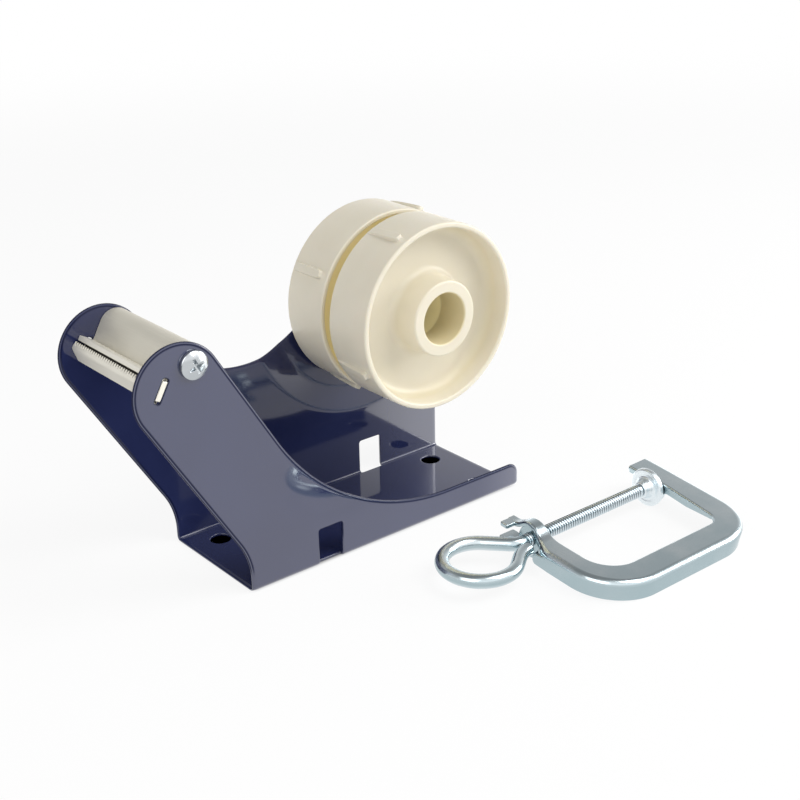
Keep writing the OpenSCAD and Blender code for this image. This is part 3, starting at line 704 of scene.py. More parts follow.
def frame_outline():
    along, across = direction(-ARM_ANGLE), direction(90 - ARM_ANGLE)
    across_dir = 90 - ARM_ANGLE
    end = BASE_L / 2
    nose_low = NOSE_C - NOSE_R * across
    foot = nose_low + along * (-end - nose_low[0]) / along[0]
    foot_c = foot - [FOOT_R, FOOT_R * math.tan(math.radians(across_dir / 2))]
    front = np.concatenate([arc(foot_c, FOOT_R, 0, across_dir),
                            arc(NOSE_C, NOSE_R, across_dir + 180, across_dir)])
    sweep_z = LIP_H + SWEEP_R
    sweep_x = (NOSE_R + SWEEP_R - (sweep_z - NOSE_C[1]) * across[1]) / across[0] + NOSE_C[0]
    sweep_c = np.array([sweep_x, sweep_z])
    lip_c = np.array([end - LIP_END_R, LIP_H - LIP_END_R])
    near = np.concatenate([front, arc(sweep_c, SWEEP_R, across_dir + 180, 270, 2.0),
                           arc(lip_c, LIP_END_R, 90, 0, 0.6)])

    start = NOSE_C + (NOSE_R + VALLEY_R) * across
    gap = start - AXLE
    run = -gap @ along - math.sqrt((gap @ along) ** 2 - gap @ gap + (VALLEY_R + LOBE_R) ** 2)
    valley_c = start + run * along
    valley_dir = math.degrees(math.atan2(*(AXLE - valley_c)[::-1]))
    rear = np.array([end, REAR_EDGE_Z])
    lean = rear - AXLE
    turn = math.degrees(math.atan2(lean[1], lean[0]) + math.acos(LOBE_R / np.linalg.norm(lean)))
    rear_c = rear - [REAR_EDGE_R, REAR_EDGE_R * math.tan(math.radians(turn / 2))]
    far = np.concatenate([front, arc(valley_c, VALLEY_R, across_dir + 180, 360 + valley_dir),
                          arc(AXLE, LOBE_R, 180 + valley_dir, turn),
                          arc(rear_c, REAR_EDGE_R, turn, 0)])

    bend = FLAT_HALF + BEND_ARC * np.arange(BEND_ROWS + 1) / BEND_ROWS
    rows = np.concatenate([-bend[::-1], bend])
    rear_edge = np.stack([np.full_like(rows, end), rows], 1)
    front_edge = np.stack([np.full_like(rows, -end), rows[::-1]], 1)
    return divide(np.concatenate([on_wall(near, -1), rear_edge, on_wall(far, 1)[::-1], front_edge]), 2.0)


def clamp_slot(x, side):
    """The slot for the clamp's jaw: up a wall and down through the bend."""
    low, high = FLAT_HALF, SLOT_H + WALL_SHIFT
    rows = [FLAT_HALF + BEND_ARC * k / BEND_ROWS for k in range(2, BEND_ROWS + 1)]
    left, right = x - SLOT_W / 2, x + SLOT_W / 2
    corners = [(left, low, 0.5)] + [(left, r, 0) for r in rows] + [(left, high, SLOT_R)]
    corners += [(right, high, SLOT_R)] + [(right, r, 0) for r in reversed(rows)] + [(right, low, 0.5)]
    return clockwise(divide(rounded([(a, side * b, r) for a, b, r in corners]), 2.0))


def tab_slot(side):
    near, far = CURL_OUT + SEAT_GAP - TAB_GAP, CURL_OUT + SEAT_GAP + HEM_T + TAB_GAP
    top, foot = LIP_AT - TAB_GAP, LIP_AT + TAB_H + TAB_SLACK + TAB_GAP
    corners = [at_leg(o, d) for o, d in ((near, top), (far, top), (far, foot), (near, foot))]
    return clockwise(rounded([(*p, 0.8) for p in on_wall(corners, side)]))


def build_frame():
    round_holes = [on_wall(arc(SPACER_C, SCREW_HOLE_R, 360, 0, 0.5)[:-1], s) for s in (-1, 1)]
    round_holes.append(on_wall(arc(AXLE, AXLE_HOLE_R, 360, 0, 0.6)[:-1], 1))
    round_holes += [arc(np.array([x, y]), HOLE_R, 360, 0, 0.5)[:-1]
                    for x in (-HOLE_X, HOLE_X) for y in (-HOLE_Y, HOLE_Y)]
    loops = [counter_clockwise(frame_outline()), clamp_slot(NEAR_SLOT_X, -1), clamp_slot(FAR_SLOT_X, 1)]
    loops += [tab_slot(-1), tab_slot(1)] + [clockwise(h) for h in round_holes]
    reach = BASE_L / 2 - 1
    inside = [np.array([x, side * (FLAT_HALF + BEND_ARC * k / BEND_ROWS)]) for side in (-1, 1)
              for k in range(BEND_ROWS + 1) for x in np.arange(-reach, reach + 0.1, 3.0)]
    for radius in np.arange(DISH_FLOOR_R - 2, DISH_RIM_R + 2.5, 0.65):
        inside += list(on_wall(arc(AXLE, radius, 0, 360, 1.6)[:-1], 1))
    shell = Shell()
    cut_sheet(shell, fold_frame, loops, inside, SHEET_T, ENAMEL_RIM, 5, ENAMEL_SOFT)
    shell.piece("frame_sheet", "stand", NAVY, "navy_enamel", "frame")


# Nose parts.


def side_view(x, z, y):
    """Puts points of a side view in the frame."""
    return np.stack([x, y, z], 1)


def strip(shell, path, half, thick, rim, outline=None, right=False, rows=0.6):
    """A sheet strip across the dispenser that follows a side view path."""
    fold, length = follow(path, side_view, right)
    loop = rounded([(0, -half, 0.3), (length, -half, 0.3), (length, half, 0.3), (0, half, 0.3)])
    loop = divide(loop if outline is None else outline(length), rows)
    inside = [(s, y) for s in np.arange(rows, length, rows) for y in np.linspace(-half + 1, half - 1, 18)]
    cut_sheet(shell, fold, [counter_clockwise(loop)], inside, thick, rim)


def build_nose_plate():
    """The guide plate: a straight leg that curls over the spacer."""
    leg = [at_leg(CURL_OUT, d) for d in np.arange(LEG_L, 0.1, -0.5)]
    curl = arc(SPACER_C, CURL_OUT, CURL_TO, CURL_FROM, 0.4)
    shell = Shell()
    strip(shell, np.concatenate([leg, curl]), NOSE_HALF, NOSE_SHEET_T, 0.2, right=True)
    shell.piece("nose_guide_plate", "stand", STEEL, "nose_steel", "nose_plate")


def build_cutter():
    """The folded cutter: hemmed lip and back leaf with end tabs, and the toothed strip in front."""
    face = CURL_OUT + SEAT_GAP
    shell = Shell()
    hem = [at_leg(face + o, LIP_AT + d) for o, d in rounded(
        [(LIP_D, 0, 0), (0, 0, 0.9), (0, LEAF_H, 0)], turn=8, closed=False)]

    def hem_outline(length):
        tab_from, tab_to = length - LEAF_H + 0.6, length - LEAF_H + TAB_H
        end = BASE_W / 2
        half = [(0, NOSE_HALF, 0.5), (tab_from, NOSE_HALF, 0.1), (tab_from, end, 0.5),
                (tab_to, end, 0.5), (tab_to, NOSE_HALF, 0.1), (length, NOSE_HALF, 0.45)]
        return rounded(half + [(s, -y, r) for s, y, r in reversed(half)])

    strip(shell, refined(hem, 11), NOSE_HALF, HEM_T, 0.35, hem_outline, right=True)

    blade = [at_leg(face + o, LIP_AT + d) for o, d in rounded(
        [(0.6, LEAF_H, 0), (BLADE_FOOT, LEAF_H, 1.2), (BLADE_OUT, BLADE_KNEE, 1.5),
         (BLADE_OUT, TIP_DROP, 0)], turn=10, closed=False)]
    flank = NOSE_HALF / TOOTH_N

    def toothed(length):
        shoulder = length - TOOTH_H - TOOTH_SHOULDER
        teeth = [(length - (TOOTH_H if i % 2 == 0 else 0), -NOSE_HALF + i * flank)
                 for i in range(2 * TOOTH_N + 1)]
        return np.array([(0, NOSE_HALF), (0, -NOSE_HALF), (shoulder, -NOSE_HALF)]
                        + teeth + [(shoulder, NOSE_HALF)])

    strip(shell, refined(blade, 7), NOSE_HALF, BLADE_T, 0.06, toothed, right=True)
    shell.piece("cutter_strip", "stand", CUTTER_STEEL, "nose_steel", "cutter_blade")


def recess(x, y):
    """Depth of the cross recess of a screw head."""
    deepest = np.zeros_like(x)
    for turn in (RECESS_TURN, RECESS_TURN + 90):
        c, s = direction(turn)
        a, b = np.abs(x * c + y * s) / RECESS_L, np.abs(y * c - x * s)
        wall = (RECESS_HALF_W - RECESS_TAPER * a - b) * RECESS_STEEP
        floor = RECESS_D * (1 - a ** 1.5)
        deepest = np.maximum(deepest, np.minimum(wall, floor))
    return deepest


def build_nose_screws():
    ball = 1.6 * HEAD_R
    edge_z = HEAD_H - ball + math.sqrt(ball * ball - HEAD_R * HEAD_R)
    dome = [(r, HEAD_H - ball + math.sqrt(ball * ball - r * r)) for r in np.arange(0.03, HEAD_R - 0.7, 0.11)]
    rim = rounded([(*dome[-1], 0), (HEAD_R, edge_z, 0.55), (HEAD_R, 0.25, 0), (HEAD_R - 0.25, 0, 0)],
                  closed=False)
    profile = np.concatenate([dome, rim[1:], [(SCREW_HOLE_R - 0.3, 0)]])[::-1]
    turns = np.linspace(0, 2 * math.pi, 145)[:-1]
    shell = Shell()
    for side in (-1, 1):
        def place(p, side=side):
            x, y = p[:, 0], p[:, 1]
            sunk = p[:, 2] - np.where(np.hypot(x, y) < RECESS_L + 0.1, recess(x, y), 0)
            return np.stack([SPACER_C[0] + x, side * (BASE_W / 2 + sunk), SPACER_C[1] + y], 1)

        lathe(shell, profile, place, turns, closed=False)
    shell.piece("nose_screws", "stand", HEAD_ZINC, "zinc", "nose_screws")


# Tape hub.


def build_wheel(name, node, back_y, rib_angle):
    rim_in = RIM_R - RIM_T
    web = WHEEL_L / 2 - WEB_T / 2
    front = WHEEL_L - RIM_INSET
    corners = [(WHEEL_BORE, 0, 0.6), (BOSS_R - 0.2, 0, 0.9), (BOSS_R + 0.3, web, BACK_FILLET_R),
               (rim_in - 0.3, web, BACK_FILLET_R), (rim_in, RIM_INSET, WHEEL_EDGE_R),
               (RIM_R, RIM_INSET, WHEEL_EDGE_R)]
    # Further rows along the rim, for the ribs that rise from it.
    corners += [(RIM_R, RIM_INSET + d, 0) for d in (1.0, 4.0, 8.0, 12.0, 16.0)]
    corners += [(RIM_R, RIB_FROM + RIB_L + d, 0) for d in (-1.8, -1.4, -0.9, -0.5, -0.2, 0.05)]
    corners += [(RIM_R, front, WHEEL_EDGE_R), (rim_in, front, 0.9), (rim_in - 0.5, web + WEB_T, CUP_FILLET_R),
                (BOSS_R + 0.5, web + WEB_T, BOSS_FILLET_R), (BOSS_R - 0.2, WHEEL_L, 0.9),
                (WHEEL_BORE, WHEEL_L, 0.7)]
    turns = list(np.radians(np.arange(0, 360, 3.0)))
    for k in range(4):
        middle = math.radians(rib_angle + 90 * k)
        turns += [middle + s / RIM_R for s in np.arange(-RIB_W / 2 - 0.6, RIB_W / 2 + 0.61, 0.15)]
    turns = np.unique(np.round(np.mod(turns, 2 * math.pi), 5))

    def rib(radius, height, angle):
        """Four ribs that rise towards the front and end in a rounded step."""
        quarter = math.pi / 2
        off = np.abs(np.mod(angle - math.radians(rib_angle) + quarter / 2, quarter) - quarter / 2) * RIM_R
        run = height - RIB_FROM
        rise = RIB_H * np.clip(run / RIB_L, 0, 1) ** 0.45 * np.clip((RIB_L - run) / 0.25, 0, 1) ** 0.5
        tip = np.sqrt(1 - np.clip((run - RIB_L) / (RIB_W / 2) + 1, 0, 1) ** 2)
        flat = RIB_W / 2 * (0.25 + 0.75 * tip)
        side = np.clip((flat - off) / 0.35, 0, 1)
        return np.where(radius > RIM_R - 0.01, rise * np.sqrt(1 - (1 - side) ** 2), 0.0)

    def place(p):
        return np.stack([AXLE[0] + p[:, 0], back_y - p[:, 2], AXLE[1] + p[:, 1]], 1)

    shell = Shell()
    lathe(shell, rounded(corners, 9), place, turns, bump=rib)
    shell.piece(name, "hub", CREAM, "cream_plastic", node)


# Clamp.


def about_screw(p):
    """Turned shapes about the clamp screw: height is u."""
    return lay_clamp(p[:, 2], SCREW_V + p[:, 1], AXIS_W - p[:, 0])


def clamp_edges():
    """Matching points of the clamp's outer edge and throat, from the notch to the jaw tip."""
    lean, taper = math.radians(JAW_LEAN), math.radians(JAW_TAPER)
    corner = np.array([OUTER_CORNER_R, OUTER_CORNER_R])
    inner_v = SPINE_W + JAW_CORNER_R
    throat_c = np.array([SCREW_ARM_W + SCREW_CORNER_R, SPINE_W + SCREW_CORNER_R])

    def to_edge(radius, rise, angle):
        """Distance in u from an arc's centre to the slanted edge that leaves the arc, at a rise above it."""
        return (radius + rise * math.sin(angle)) / math.cos(angle)

    jaw_c = np.array([CLAMP_L - to_edge(OUTER_CORNER_R, ARM_L - OUTER_CORNER_R, lean), OUTER_CORNER_R])
    jaw_in_c = np.array([JAW_U - to_edge(JAW_CORNER_R, TAPER_TO - inner_v, taper), inner_v])

    def line(p, q, count):
        return np.linspace(p, q, count + 1)

    def leaning(v):
        return np.array([jaw_c[0] + to_edge(OUTER_CORNER_R, v - OUTER_CORNER_R, lean), v])

    outer_1 = arc(corner, OUTER_CORNER_R, 180, 270)
    inner_1 = arc(throat_c, SCREW_CORNER_R, 180, 270)
    outer_2 = arc(jaw_c, OUTER_CORNER_R, 270, 360 - JAW_LEAN)
    inner_2 = arc(jaw_in_c, JAW_CORNER_R, 270, 360 - JAW_TAPER)

    def matched(points, count):
        at = np.linspace(0, len(points) - 1, count)
        return np.stack([np.interp(at, np.arange(len(points)), points[:, k]) for k in (0, 1)], 1)

    outer = [line([0, NARROW_FROM], outer_1[0], 8), outer_1, line(outer_1[-1], outer_2[0], 10), outer_2,
             line(outer_2[-1], leaning(TAPER_TO), 6), line(leaning(TAPER_TO), leaning(ARM_L), 8)]
    inner = [line([SCREW_ARM_W, NARROW_FROM], inner_1[0], 8), matched(inner_1, len(outer_1)),
             line(inner_1[-1], inner_2[0], 10), matched(inner_2, len(outer_2)),
             line(inner_2[-1], [JAW_U, TAPER_TO], 6), line([JAW_U, TAPER_TO], [JAW_U, ARM_L], 8)]

    def joined(parts):
        return np.concatenate([parts[0]] + [p[1:] for p in parts[1:]])

    return joined(outer), joined(inner)


def narrowing(v):
    """Place u of the screw arm's outer edge at a distance from the clamp's back."""
    radius = (NARROW_L ** 2 + NOTCH_D ** 2) / (4 * NOTCH_D)
    run = np.clip(v - NARROW_FROM, 0, NARROW_L)
    left = np.minimum(run, NARROW_L - run)
    bulge = radius - np.sqrt(radius ** 2 - left ** 2)
    return np.where(run < NARROW_L / 2, bulge, NOTCH_D - bulge)


def strap_path(start, lower):
    """Side view [v, w] of a strap that arches over the screw, or under it."""
    flat = SECTION_H - (STRAP_SINK if lower else 0)
    rise = math.sqrt((ARCH_R + ARCH_BLEND) ** 2 - (flat - AXIS_W + ARCH_BLEND) ** 2)
    lift = math.degrees(math.atan2(flat - AXIS_W + ARCH_BLEND, rise))
    before, after = np.arange(start, SCREW_V - rise, 0.4), np.arange(ARM_L, SCREW_V + rise, -0.4)[::-1]
    path = np.concatenate([
        np.stack([before, np.full_like(before, flat)], 1),
        arc(np.array([SCREW_V - rise, flat + ARCH_BLEND]), ARCH_BLEND, 270, 270 + 90 - lift, 0.35),
        arc(np.array([SCREW_V, AXIS_W]), ARCH_R, 180 - lift, lift, 0.35)[1:-1],
        arc(np.array([SCREW_V + rise, flat + ARCH_BLEND]), ARCH_BLEND, 180 + lift, 270, 0.35),
        np.stack([after, np.full_like(after, flat)], 1)])
    return path * [1, -1] + [0, SECTION_H] if lower else path


def clamp_body(shell):
    """The bent bar: a flange with a web round its outside, which narrows to a strap over the screw."""
    path = strap_path(NARROW_FROM, False)[:0:-1]
    v = path[:, 0]
    wider = ARCH_WIDER * eased(v, NARROW_FROM + 3, SCREW_V - 5) * (1 - eased(v, SCREW_V + 4, ARM_L - EAR_L))
    bar_outer, bar_inner = clamp_edges()
    outer = np.concatenate([np.stack([narrowing(v), v], 1), bar_outer])
    inner = np.concatenate([np.stack([SCREW_ARM_W + wider, v], 1), bar_inner])
    along = unit(np.gradient(path, axis=0))
    flat = np.tile([0.0, 1.0], (len(bar_outer), 1))
    up = np.concatenate([np.stack([along[:, 1], -along[:, 0]], 1), flat])
    top = np.concatenate([path[:, 1], np.full(len(bar_outer), SECTION_H)])

    def inward(edge):
        t = unit(np.gradient(edge, axis=0))
        return np.stack([-t[:, 1], t[:, 0]], 1)

    sideways = np.tile([1.0, 0.0], (len(path), 1))
    into = np.concatenate([sideways, inward(bar_outer)])
    back = -np.concatenate([sideways, inward(bar_inner)])
    t = CLAMP_T
    strap = np.concatenate([eased(v, NARROW_FROM, SCREW_V - 4), np.zeros(len(bar_outer))])
    web = SECTION_H + (t + 0.06 - SECTION_H) * strap
    rim, throat = np.minimum(CLAMP_RIM, (web - t) / 2), THROAT_RIM + (CLAMP_RIM - THROAT_RIM) * strap
    bend = np.minimum(CLAMP_BEND_R, web / 2)
    run = np.concatenate([np.zeros(len(path)), np.linspace(0, 1, len(bar_outer))])
    flare = JAW_FLARE * np.abs(into[:, 0]) * np.clip(1 - np.abs(run - 0.7) / 0.3, 0, 1) ** 0.7

    rows = []

    def corner(edge, way, off, depth, radius, start, end, bead=0.0):
        """A rounded corner of the section: off goes into the metal from the edge, depth down from the top."""
        for a in np.radians(np.linspace(start, end, 6)):
            down = depth - radius * math.sin(a)
            reach = off + radius * math.cos(a) - bead * (1 - eased(down, CLAMP_BEND_R, CLAMP_BEND_R + 1.4))
            plan = edge + reach[:, None] * way
            rows.append(lay_clamp(plan[:, 0], plan[:, 1] - down * up[:, 0], top - down * up[:, 1]))

    foot = np.minimum(CLAMP_RIM, web / 3)
    corner(outer, into, foot, web - foot, foot, 270, 180, flare)
    corner(outer, into, bend, bend, bend, 180, 90, flare)
    top_row = len(rows) - 1
    corner(inner, back, throat, throat, throat, 90, 180)
    corner(inner, back, CLAMP_RIM + 0 * web, t - CLAMP_RIM + 0 * web, CLAMP_RIM, 180, 270)
    corner(outer, into, t + rim, t + rim, rim, 90, 180)
    corner(outer, into, t - rim, web - rim, rim, 0, -90)
    points = np.array(rows)
    guide = np.cross(unit(np.roll(points, 1, 0) - np.roll(points, -1, 0)), np.gradient(points, axis=1))
    if guide[top_row, -1] @ (lay_clamp(0.0, 0.0, 1.0) - lay_clamp(0.0, 0.0, 0.0)) < 0:
        guide = -guide
    shell.grid(points, guide, wrap_rows=True, wrap_columns=False)
    middle = points.mean(0)
    for end, step in ((0, 1), (-1, -2)):
        shell.cap(points[:, end], unit(middle[end] - middle[step]))


def clamp_straps(shell):
    """What the forked end has besides: the lower strap with its ear, and the ear of the upper one."""
    path = strap_path(TONGUE_FROM, True)
    fold, length = follow(path, lambda v, w, u: lay_clamp(u, v, w))
    along = distances(path)
    ear = length - EAR_L
    corners = [(0, SCREW_ARM_W, 0.6), (length, SCREW_ARM_W, 0.9), (length, EAR_U, 0.9), (ear, EAR_U, 0.7),
               (ear, NOTCH_D, NOTCH_R)]
    corners += [(np.interp(v, path[:, 0], along), narrowing(v) + STRAP_RIM, 0)
                for v in np.arange(NARROW_FROM + NARROW_L, TONGUE_FROM + 1, -0.5)]
    corners += [(0, narrowing(TONGUE_FROM) + STRAP_RIM, 0.6)]
    inside = [(s, u) for s in np.arange(0.4, length, 0.4) for u in np.arange(1.4, SCREW_ARM_W - 0.6, 0.8)]
    cut_sheet(shell, fold, [counter_clockwise(divide(rounded(corners), 0.5))], inside, CLAMP_T, STRAP_RIM)

    from_v, to_u = ARM_L - EAR_L, NOTCH_D + 2
    plate = rounded([(EAR_U, from_v, 0.7), (to_u, from_v, 0.5), (to_u, ARM_L, 0.5), (EAR_U, ARM_L, 0.9)])

    def level(p, depth):
        return lay_clamp(p[:, 0], p[:, 1], SECTION_H - STRAP_SINK - depth + 0 * p[:, 0])

    cut_sheet(shell, level, [counter_clockwise(divide(plate, 0.8))], [], CLAMP_T - 2 * STRAP_SINK, STRAP_RIM)


def jaw_face(shell):
    """The inner edge of the jaw arm turned down: a low lip that deepens into the face for the pad."""
    inner = clamp_edges()[1]
    path = inner[(inner[:, 0] > CLAMP_L / 2) & (inner[:, 1] > JAW_LIP_FROM)]
    along = distances(path)
    start, end = (np.interp(SCREW_V + d, path[:, 1], along) for d in (-ANVIL_L / 2, ANVIL_L / 2))
    top, low, tip = SECTION_H - 0.9, SECTION_H - JAW_LIP_H, along[-1] - 0.1
    corners = [(0, top, 0.45), (tip, top, 0.5), (tip, low + 1, 0.5), (end + 1, low + 1, 1.0), (end, 0, 0.9),
               (start, 0, 1.0), (start - 1.5, low, 2.5), (start / 2, low, 6.0), (0, top - 1.5, 0.45)]
    fold, _ = follow(path, lay_clamp, right=True)
    inside = [(s, w) for s in np.arange(0.8, tip, 0.8) for w in np.arange(1.0, top, 1.0)]
    outline = counter_clockwise(divide(rounded(corners), 0.8))
    cut_sheet(shell, lambda p, depth: fold(p, depth + JAW_LIP_SINK), [outline], inside,
              CLAMP_T - 2 * STRAP_SINK, 0.35)


def build_clamp():
    shell = Shell()
    clamp_body(shell)
    clamp_straps(shell)
    bore = SCREW_R + 0.06
    ring = [(bore, NOTCH_D + 0.5, 0.3), (ARCH_R - CLAMP_T, NOTCH_D + 0.5, 0.3),
            (ARCH_R - CLAMP_T, SCREW_ARM_W - 0.5, 0.3), (bore, SCREW_ARM_W - 0.5, 0.3)]
    lathe(shell, rounded(ring), about_screw)
    jaw_face(shell)
    web_end = rounded([(NARROW_FROM - 2, 0, 1), (WEB_L, 0.3, 2.0), (WEB_L - 0.6, WEB_END_H - 0.6, 1.8),
                       (NARROW_FROM, WEB_END_H + 0.6, 2.5), (NARROW_FROM - 2, WEB_END_H + 0.6, 0.5)])
    cut_sheet(shell, lambda p, depth: lay_clamp(STRAP_SINK + depth + 0 * p[:, 0], p[:, 0], p[:, 1]),
              [counter_clockwise(divide(web_end, 1.0))], [], CLAMP_T - 2 * STRAP_SINK, 0.35)
    shell.piece("clamp_bar", "clamp", CLAMP_ZINC, "zinc", "clamp_frame")


def build_screw():
    pad_back = JAW_U - JAW_GAP - PAD_T
    collar_end = pad_back - COLLAR_L
    thread_from, thread_to = FORK_U + 2.2, collar_end - 0.5
    shell = Shell()
    heights = np.arange(thread_from, thread_to, THREAD_PITCH / 9)
    radii = np.full(len(heights), SCREW_R)

    def thread(radius, height, angle):
        """A helical groove that runs out at both ends."""
        phase = np.mod(height / THREAD_PITCH - angle / (2 * math.pi), 1.0)
        groove = np.clip(1.15 - 2.6 * np.abs(phase - 0.5), 0, 1)
        fade_in = np.clip((height - thread_from - 0.3) / 1.2, 0, 1)
        fade_out = np.clip((thread_to - 0.3 - height) / 0.8, 0, 1)
        return -THREAD_DEPTH * groove * fade_in * fade_out

    profile = np.stack([radii, heights], 1)
    profile = np.concatenate([profile, [(SCREW_R - 0.5, thread_to + 0.2), (NECK_R, thread_to + 0.3),
                                        (NECK_R, pad_back - 0.6)]])
    lathe(shell, profile, about_screw, np.linspace(0, 2 * math.pi, 41)[:-1], closed=False, bump=thread)
    shell.piece("clamp_screw_thread", "screw", THREAD, "zinc", "clamp_screw")


def build_handle():
    """The shank's end bent into a loop whose other strand comes back beside it."""
    half = math.degrees(math.acos(LOOP_R / LOOP_AT))
    loop_c = np.array([FORK_U - LOOP_AT, 0.0])
    round_part = arc(loop_c, LOOP_R, half, STRAND_OFF, 0.5)
    bend = FORK_BEND_R * math.tan(math.radians(90 - half) / 2)
    out_bend = arc(np.array([FORK_U + bend, FORK_BEND_R]), FORK_BEND_R, 270, 180 + half, 0.4)
    shank = [(FORK_U + bend + d, 0.0) for d in (0.6, 0.3)]
    straight = np.linspace(out_bend[-1], round_part[0], 16)[1:-1]
    tip = np.array([STRAND_TIP_U, STRAND_TIP_V])
    pull = np.linalg.norm(tip - round_part[-1]) / 2.6
    ease = np.linspace(0, 1, 30)[1:, None]
    hold, aim = round_part[-1] + pull * direction(STRAND_OFF + 90), tip - [pull, 0]
    closing = ((1 - ease) ** 3 * round_part[-1] + 3 * (1 - ease) ** 2 * ease * hold
               + 3 * (1 - ease) * ease ** 2 * aim + ease ** 3 * tip)
    line = np.concatenate([shank, out_bend, straight, round_part, closing])
    turn_v, turn_w = direction(LOOP_TURN)
    path = lay_clamp(line[:, 0], SCREW_V + turn_v * line[:, 1], AXIS_W + turn_w * line[:, 1])
    to_end = distances(path[::-1])[::-1]
    radii = ROD_R * np.sqrt(np.clip(1 - np.clip(1 - to_end / 1.3, 0, 0.93) ** 2, 0, 1))
    radii = np.minimum(radii, np.linspace(SCREW_R - 0.02, SCREW_R + 3.0, len(line)))
    shell = Shell()
    tube(shell, path, radii)
    shell.piece("clamp_handle", "screw", CLAMP_ZINC, "zinc")


def build_pad():
    face = JAW_U - JAW_GAP
    back = face - PAD_T
    collar = back - COLLAR_L
    profile = rounded([(0.03, face, 0), (PAD_R, face, 0.8), (PAD_R, back, 0.8), (PAD_R - 2.0, back, 1.6),
                       (COLLAR_R - 0.4, back + 0.5, 1.2), (COLLAR_R - 1.4, back - 1.6, 1.6),
                       (COLLAR_R - 1.7, collar, 0.6), (NECK_R + 0.1, collar, 0.2),
                       (NECK_R + 0.1, collar + 2.0, 0)], turn=8, closed=False)
    shell = Shell()
    lathe(shell, profile[::-1], about_screw, closed=False)
    shell.piece("clamp_pad", "pad", PAD_ZINC_LIT, "zinc", "clamp_pad")


def dress_cad_nodes():
    """The parts inside and behind the hub keep their CAD shape, with small chamfers."""
    looks = {"nose_spacer": (ZINC, 0.3), "hub_sleeve": (BLACK, 0.3), "axle_bolt": (ZINC, 0.35),
             "head_washer": (ZINC, 0.2), "head_friction_washer": (FIBRE, 0.08),
             "wall_friction_washer": (FIBRE, 0.08), "outer_washer": (ZINC, 0.2), "disc_spring": (ZINC, 0.12),
             "lock_nut": (ZINC, 0.35), "lock_nut_insert": (NYLON, 0.2)}
    for name, (material, width) in looks.items():
        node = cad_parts[name]
        node.data.materials.clear()
        node.data.materials.append(material)
        edge = node.modifiers.new("chamfer", "BEVEL")
        edge.width = width * MM
        edge.segments = 2
        edge.limit_method = "ANGLE"
        edge.angle_limit = math.radians(40)


# Studio.


def add_camera():
    yaw, pitch, roll = (math.radians(a) for a in (CAMERA_YAW, CAMERA_PITCH, CAMERA_ROLL))
    look = Vector((math.sin(yaw) * math.cos(pitch), math.cos(yaw) * math.cos(pitch), -math.sin(pitch)))
    level = Vector((math.cos(yaw), -math.sin(yaw), 0))
    rise = level.cross(look)
    right = math.cos(roll) * level + math.sin(roll) * rise
    up = math.cos(roll) * rise - math.sin(roll) * level
    data = bpy.data.cameras.new("photo_camera")
    data.sensor_width = SENSOR_MM
    data.lens = LENS_MM
    data.clip_start = 0.01
    camera = bpy.data.objects.new("photo_camera", data)
    bpy.context.scene.collection.objects.link(camera)
    camera.matrix_world = (Matrix.Translation(Vector(CAMERA_AT) * MM)
                           @ Matrix((right, up, -look)).transposed().to_4x4())
    bpy.context.scene.camera = camera


def add_softbox(name, at, target, width, height, power):
    data = bpy.data.lights.new(name, "AREA")
    data.shape = "RECTANGLE"
    data.size, data.size_y = width, height
    data.energy = power
    light = bpy.data.objects.new(name, data)
    bpy.context.scene.collection.objects.link(light)
    light.location = at
    light.rotation_mode = "QUATERNION"
    light.rotation_quaternion = (Vector(target) - Vector(at)).to_track_quat("-Z", "Y")


def add_world():
    """White to the camera, a pale gradient in reflections, a soft fill elsewhere."""
    world = bpy.data.worlds.new("studio")
    bpy.context.scene.world = world
    world.use_nodes = True
    tree = world.node_tree
    background = tree.nodes["Background"]
    ray = tree.nodes.new("ShaderNodeLightPath").outputs
    sight = Value(tree, tree.nodes.new("ShaderNodeTexCoord").outputs["Generated"])
    y, up = sight.part(1), sight.part(2)
    front = up.between(0.15, 0.45) * (-y).between(0.0, 0.5)
    sky = up.between(0.0, 0.55, 0.42, 0.0) + up.between(0.3, 1.0, 0.6, 0.25) + 0.7 * front
    glossy = Value(tree, ray["Is Glossy Ray"])
    camera = Value(tree, ray["Is Camera Ray"])
    strength = camera + (1.0 - camera) * (glossy * sky + (1.0 - glossy) * 0.42)
    tree.links.new(strength.socket, background.inputs["Strength"])
    background.inputs["Color"].default_value = (1, 1, 1, 1)


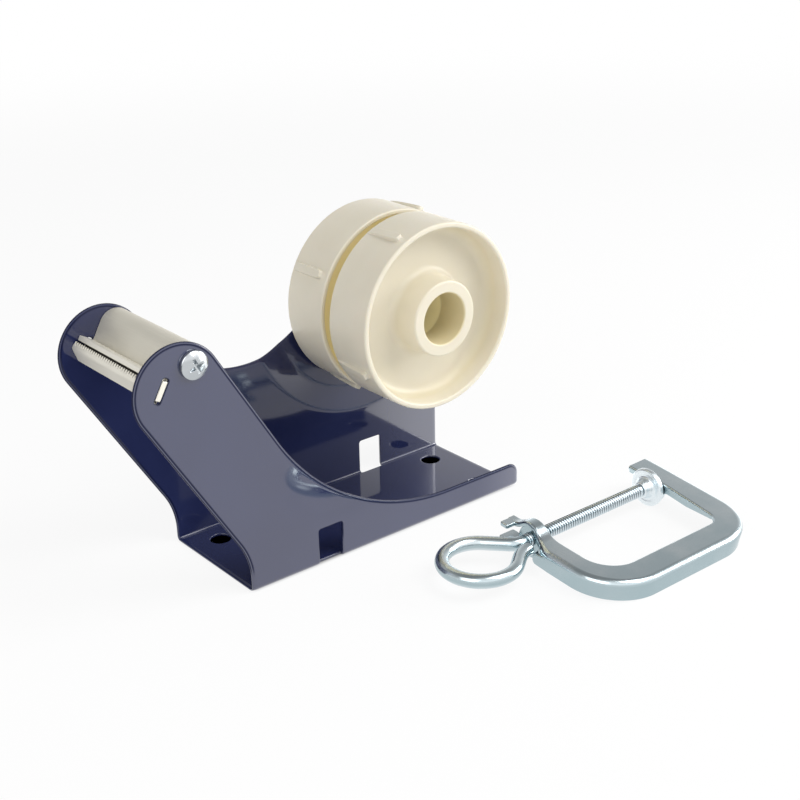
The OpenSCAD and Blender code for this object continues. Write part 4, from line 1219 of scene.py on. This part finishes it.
def add_floor():
    """A white floor with a faint shadow, a painted black shadow under the base, and in reflections a painted
    light pool to the right and painted shade to the left behind.
    """
    mesh = bpy.data.meshes.new("floor")
    corners = [(x * FLOOR_HALF, y * FLOOR_HALF, 0) for x, y in ((-1, -1), (1, -1), (1, 1), (-1, 1))]
    mesh.from_pydata(corners, [], [(0, 1, 2, 3)])
    floor = bpy.data.objects.new("floor", mesh)
    bpy.context.scene.collection.objects.link(floor)
    floor.location.z = -FLOOR_DROP
    material = bpy.data.materials.new("pale_floor")
    material.use_nodes = True
    tree = material.node_tree
    tree.nodes.remove(tree.nodes["Principled BSDF"])
    place = Value(tree, tree.nodes.new("ShaderNodeTexCoord").outputs["Object"])
    x, y = place.part(0), place.part(1)
    glossy = Value(tree, tree.nodes.new("ShaderNodeLightPath").outputs["Is Glossy Ray"])
    # In reflections, a painted light pool to the right and painted shade to the left behind; under the base,
    # a painted black shadow.
    pool = (x + y).between(0.012, 0.055)
    base_shadow = (abs(x).between(BASE_L / 2 * MM, (BASE_L / 2 - 4) * MM)
               * abs(y).between(BASE_W / 2 * MM, (BASE_W / 2 - 4) * MM))
    shade = (y - x).between(0.12, 0.2)
    strength = (1.0 + glossy * (0.95 * pool - 0.75 * shade)) * (1.0 - base_shadow)
    glow = place.node("Emission", {"Strength": strength})
    paper = place.node("BsdfDiffuse", {"Color": (0.9, 0.9, 0.9, 1)})
    far = ((x * x + y * y) ** 0.5).between(0.4, 1.4)
    share = far.between(0.0, 1.0, FLOOR_GLOW, 1.0).greater(base_shadow)
    mix = place.node("MixShader", {0: share, 1: paper, 2: glow})
    tree.links.new(mix.socket, tree.nodes["Material Output"].inputs["Surface"])
    mesh.materials.append(material)


add_camera()
build_frame()
build_nose_plate()
build_cutter()
build_nose_screws()
build_wheel("rear_wheel_moulding", "rear_wheel", WHEEL_L, REAR_RIB_ANGLE)
build_wheel("front_wheel_moulding", "front_wheel", 0.0, FRONT_RIB_ANGLE)
build_clamp()
build_screw()
build_handle()
build_pad()
dress_cad_nodes()
add_world()
add_floor()
for softbox, settings in SOFTBOXES.items():
    add_softbox(softbox, *settings)
bpy.context.scene.view_settings.view_transform = "Standard"
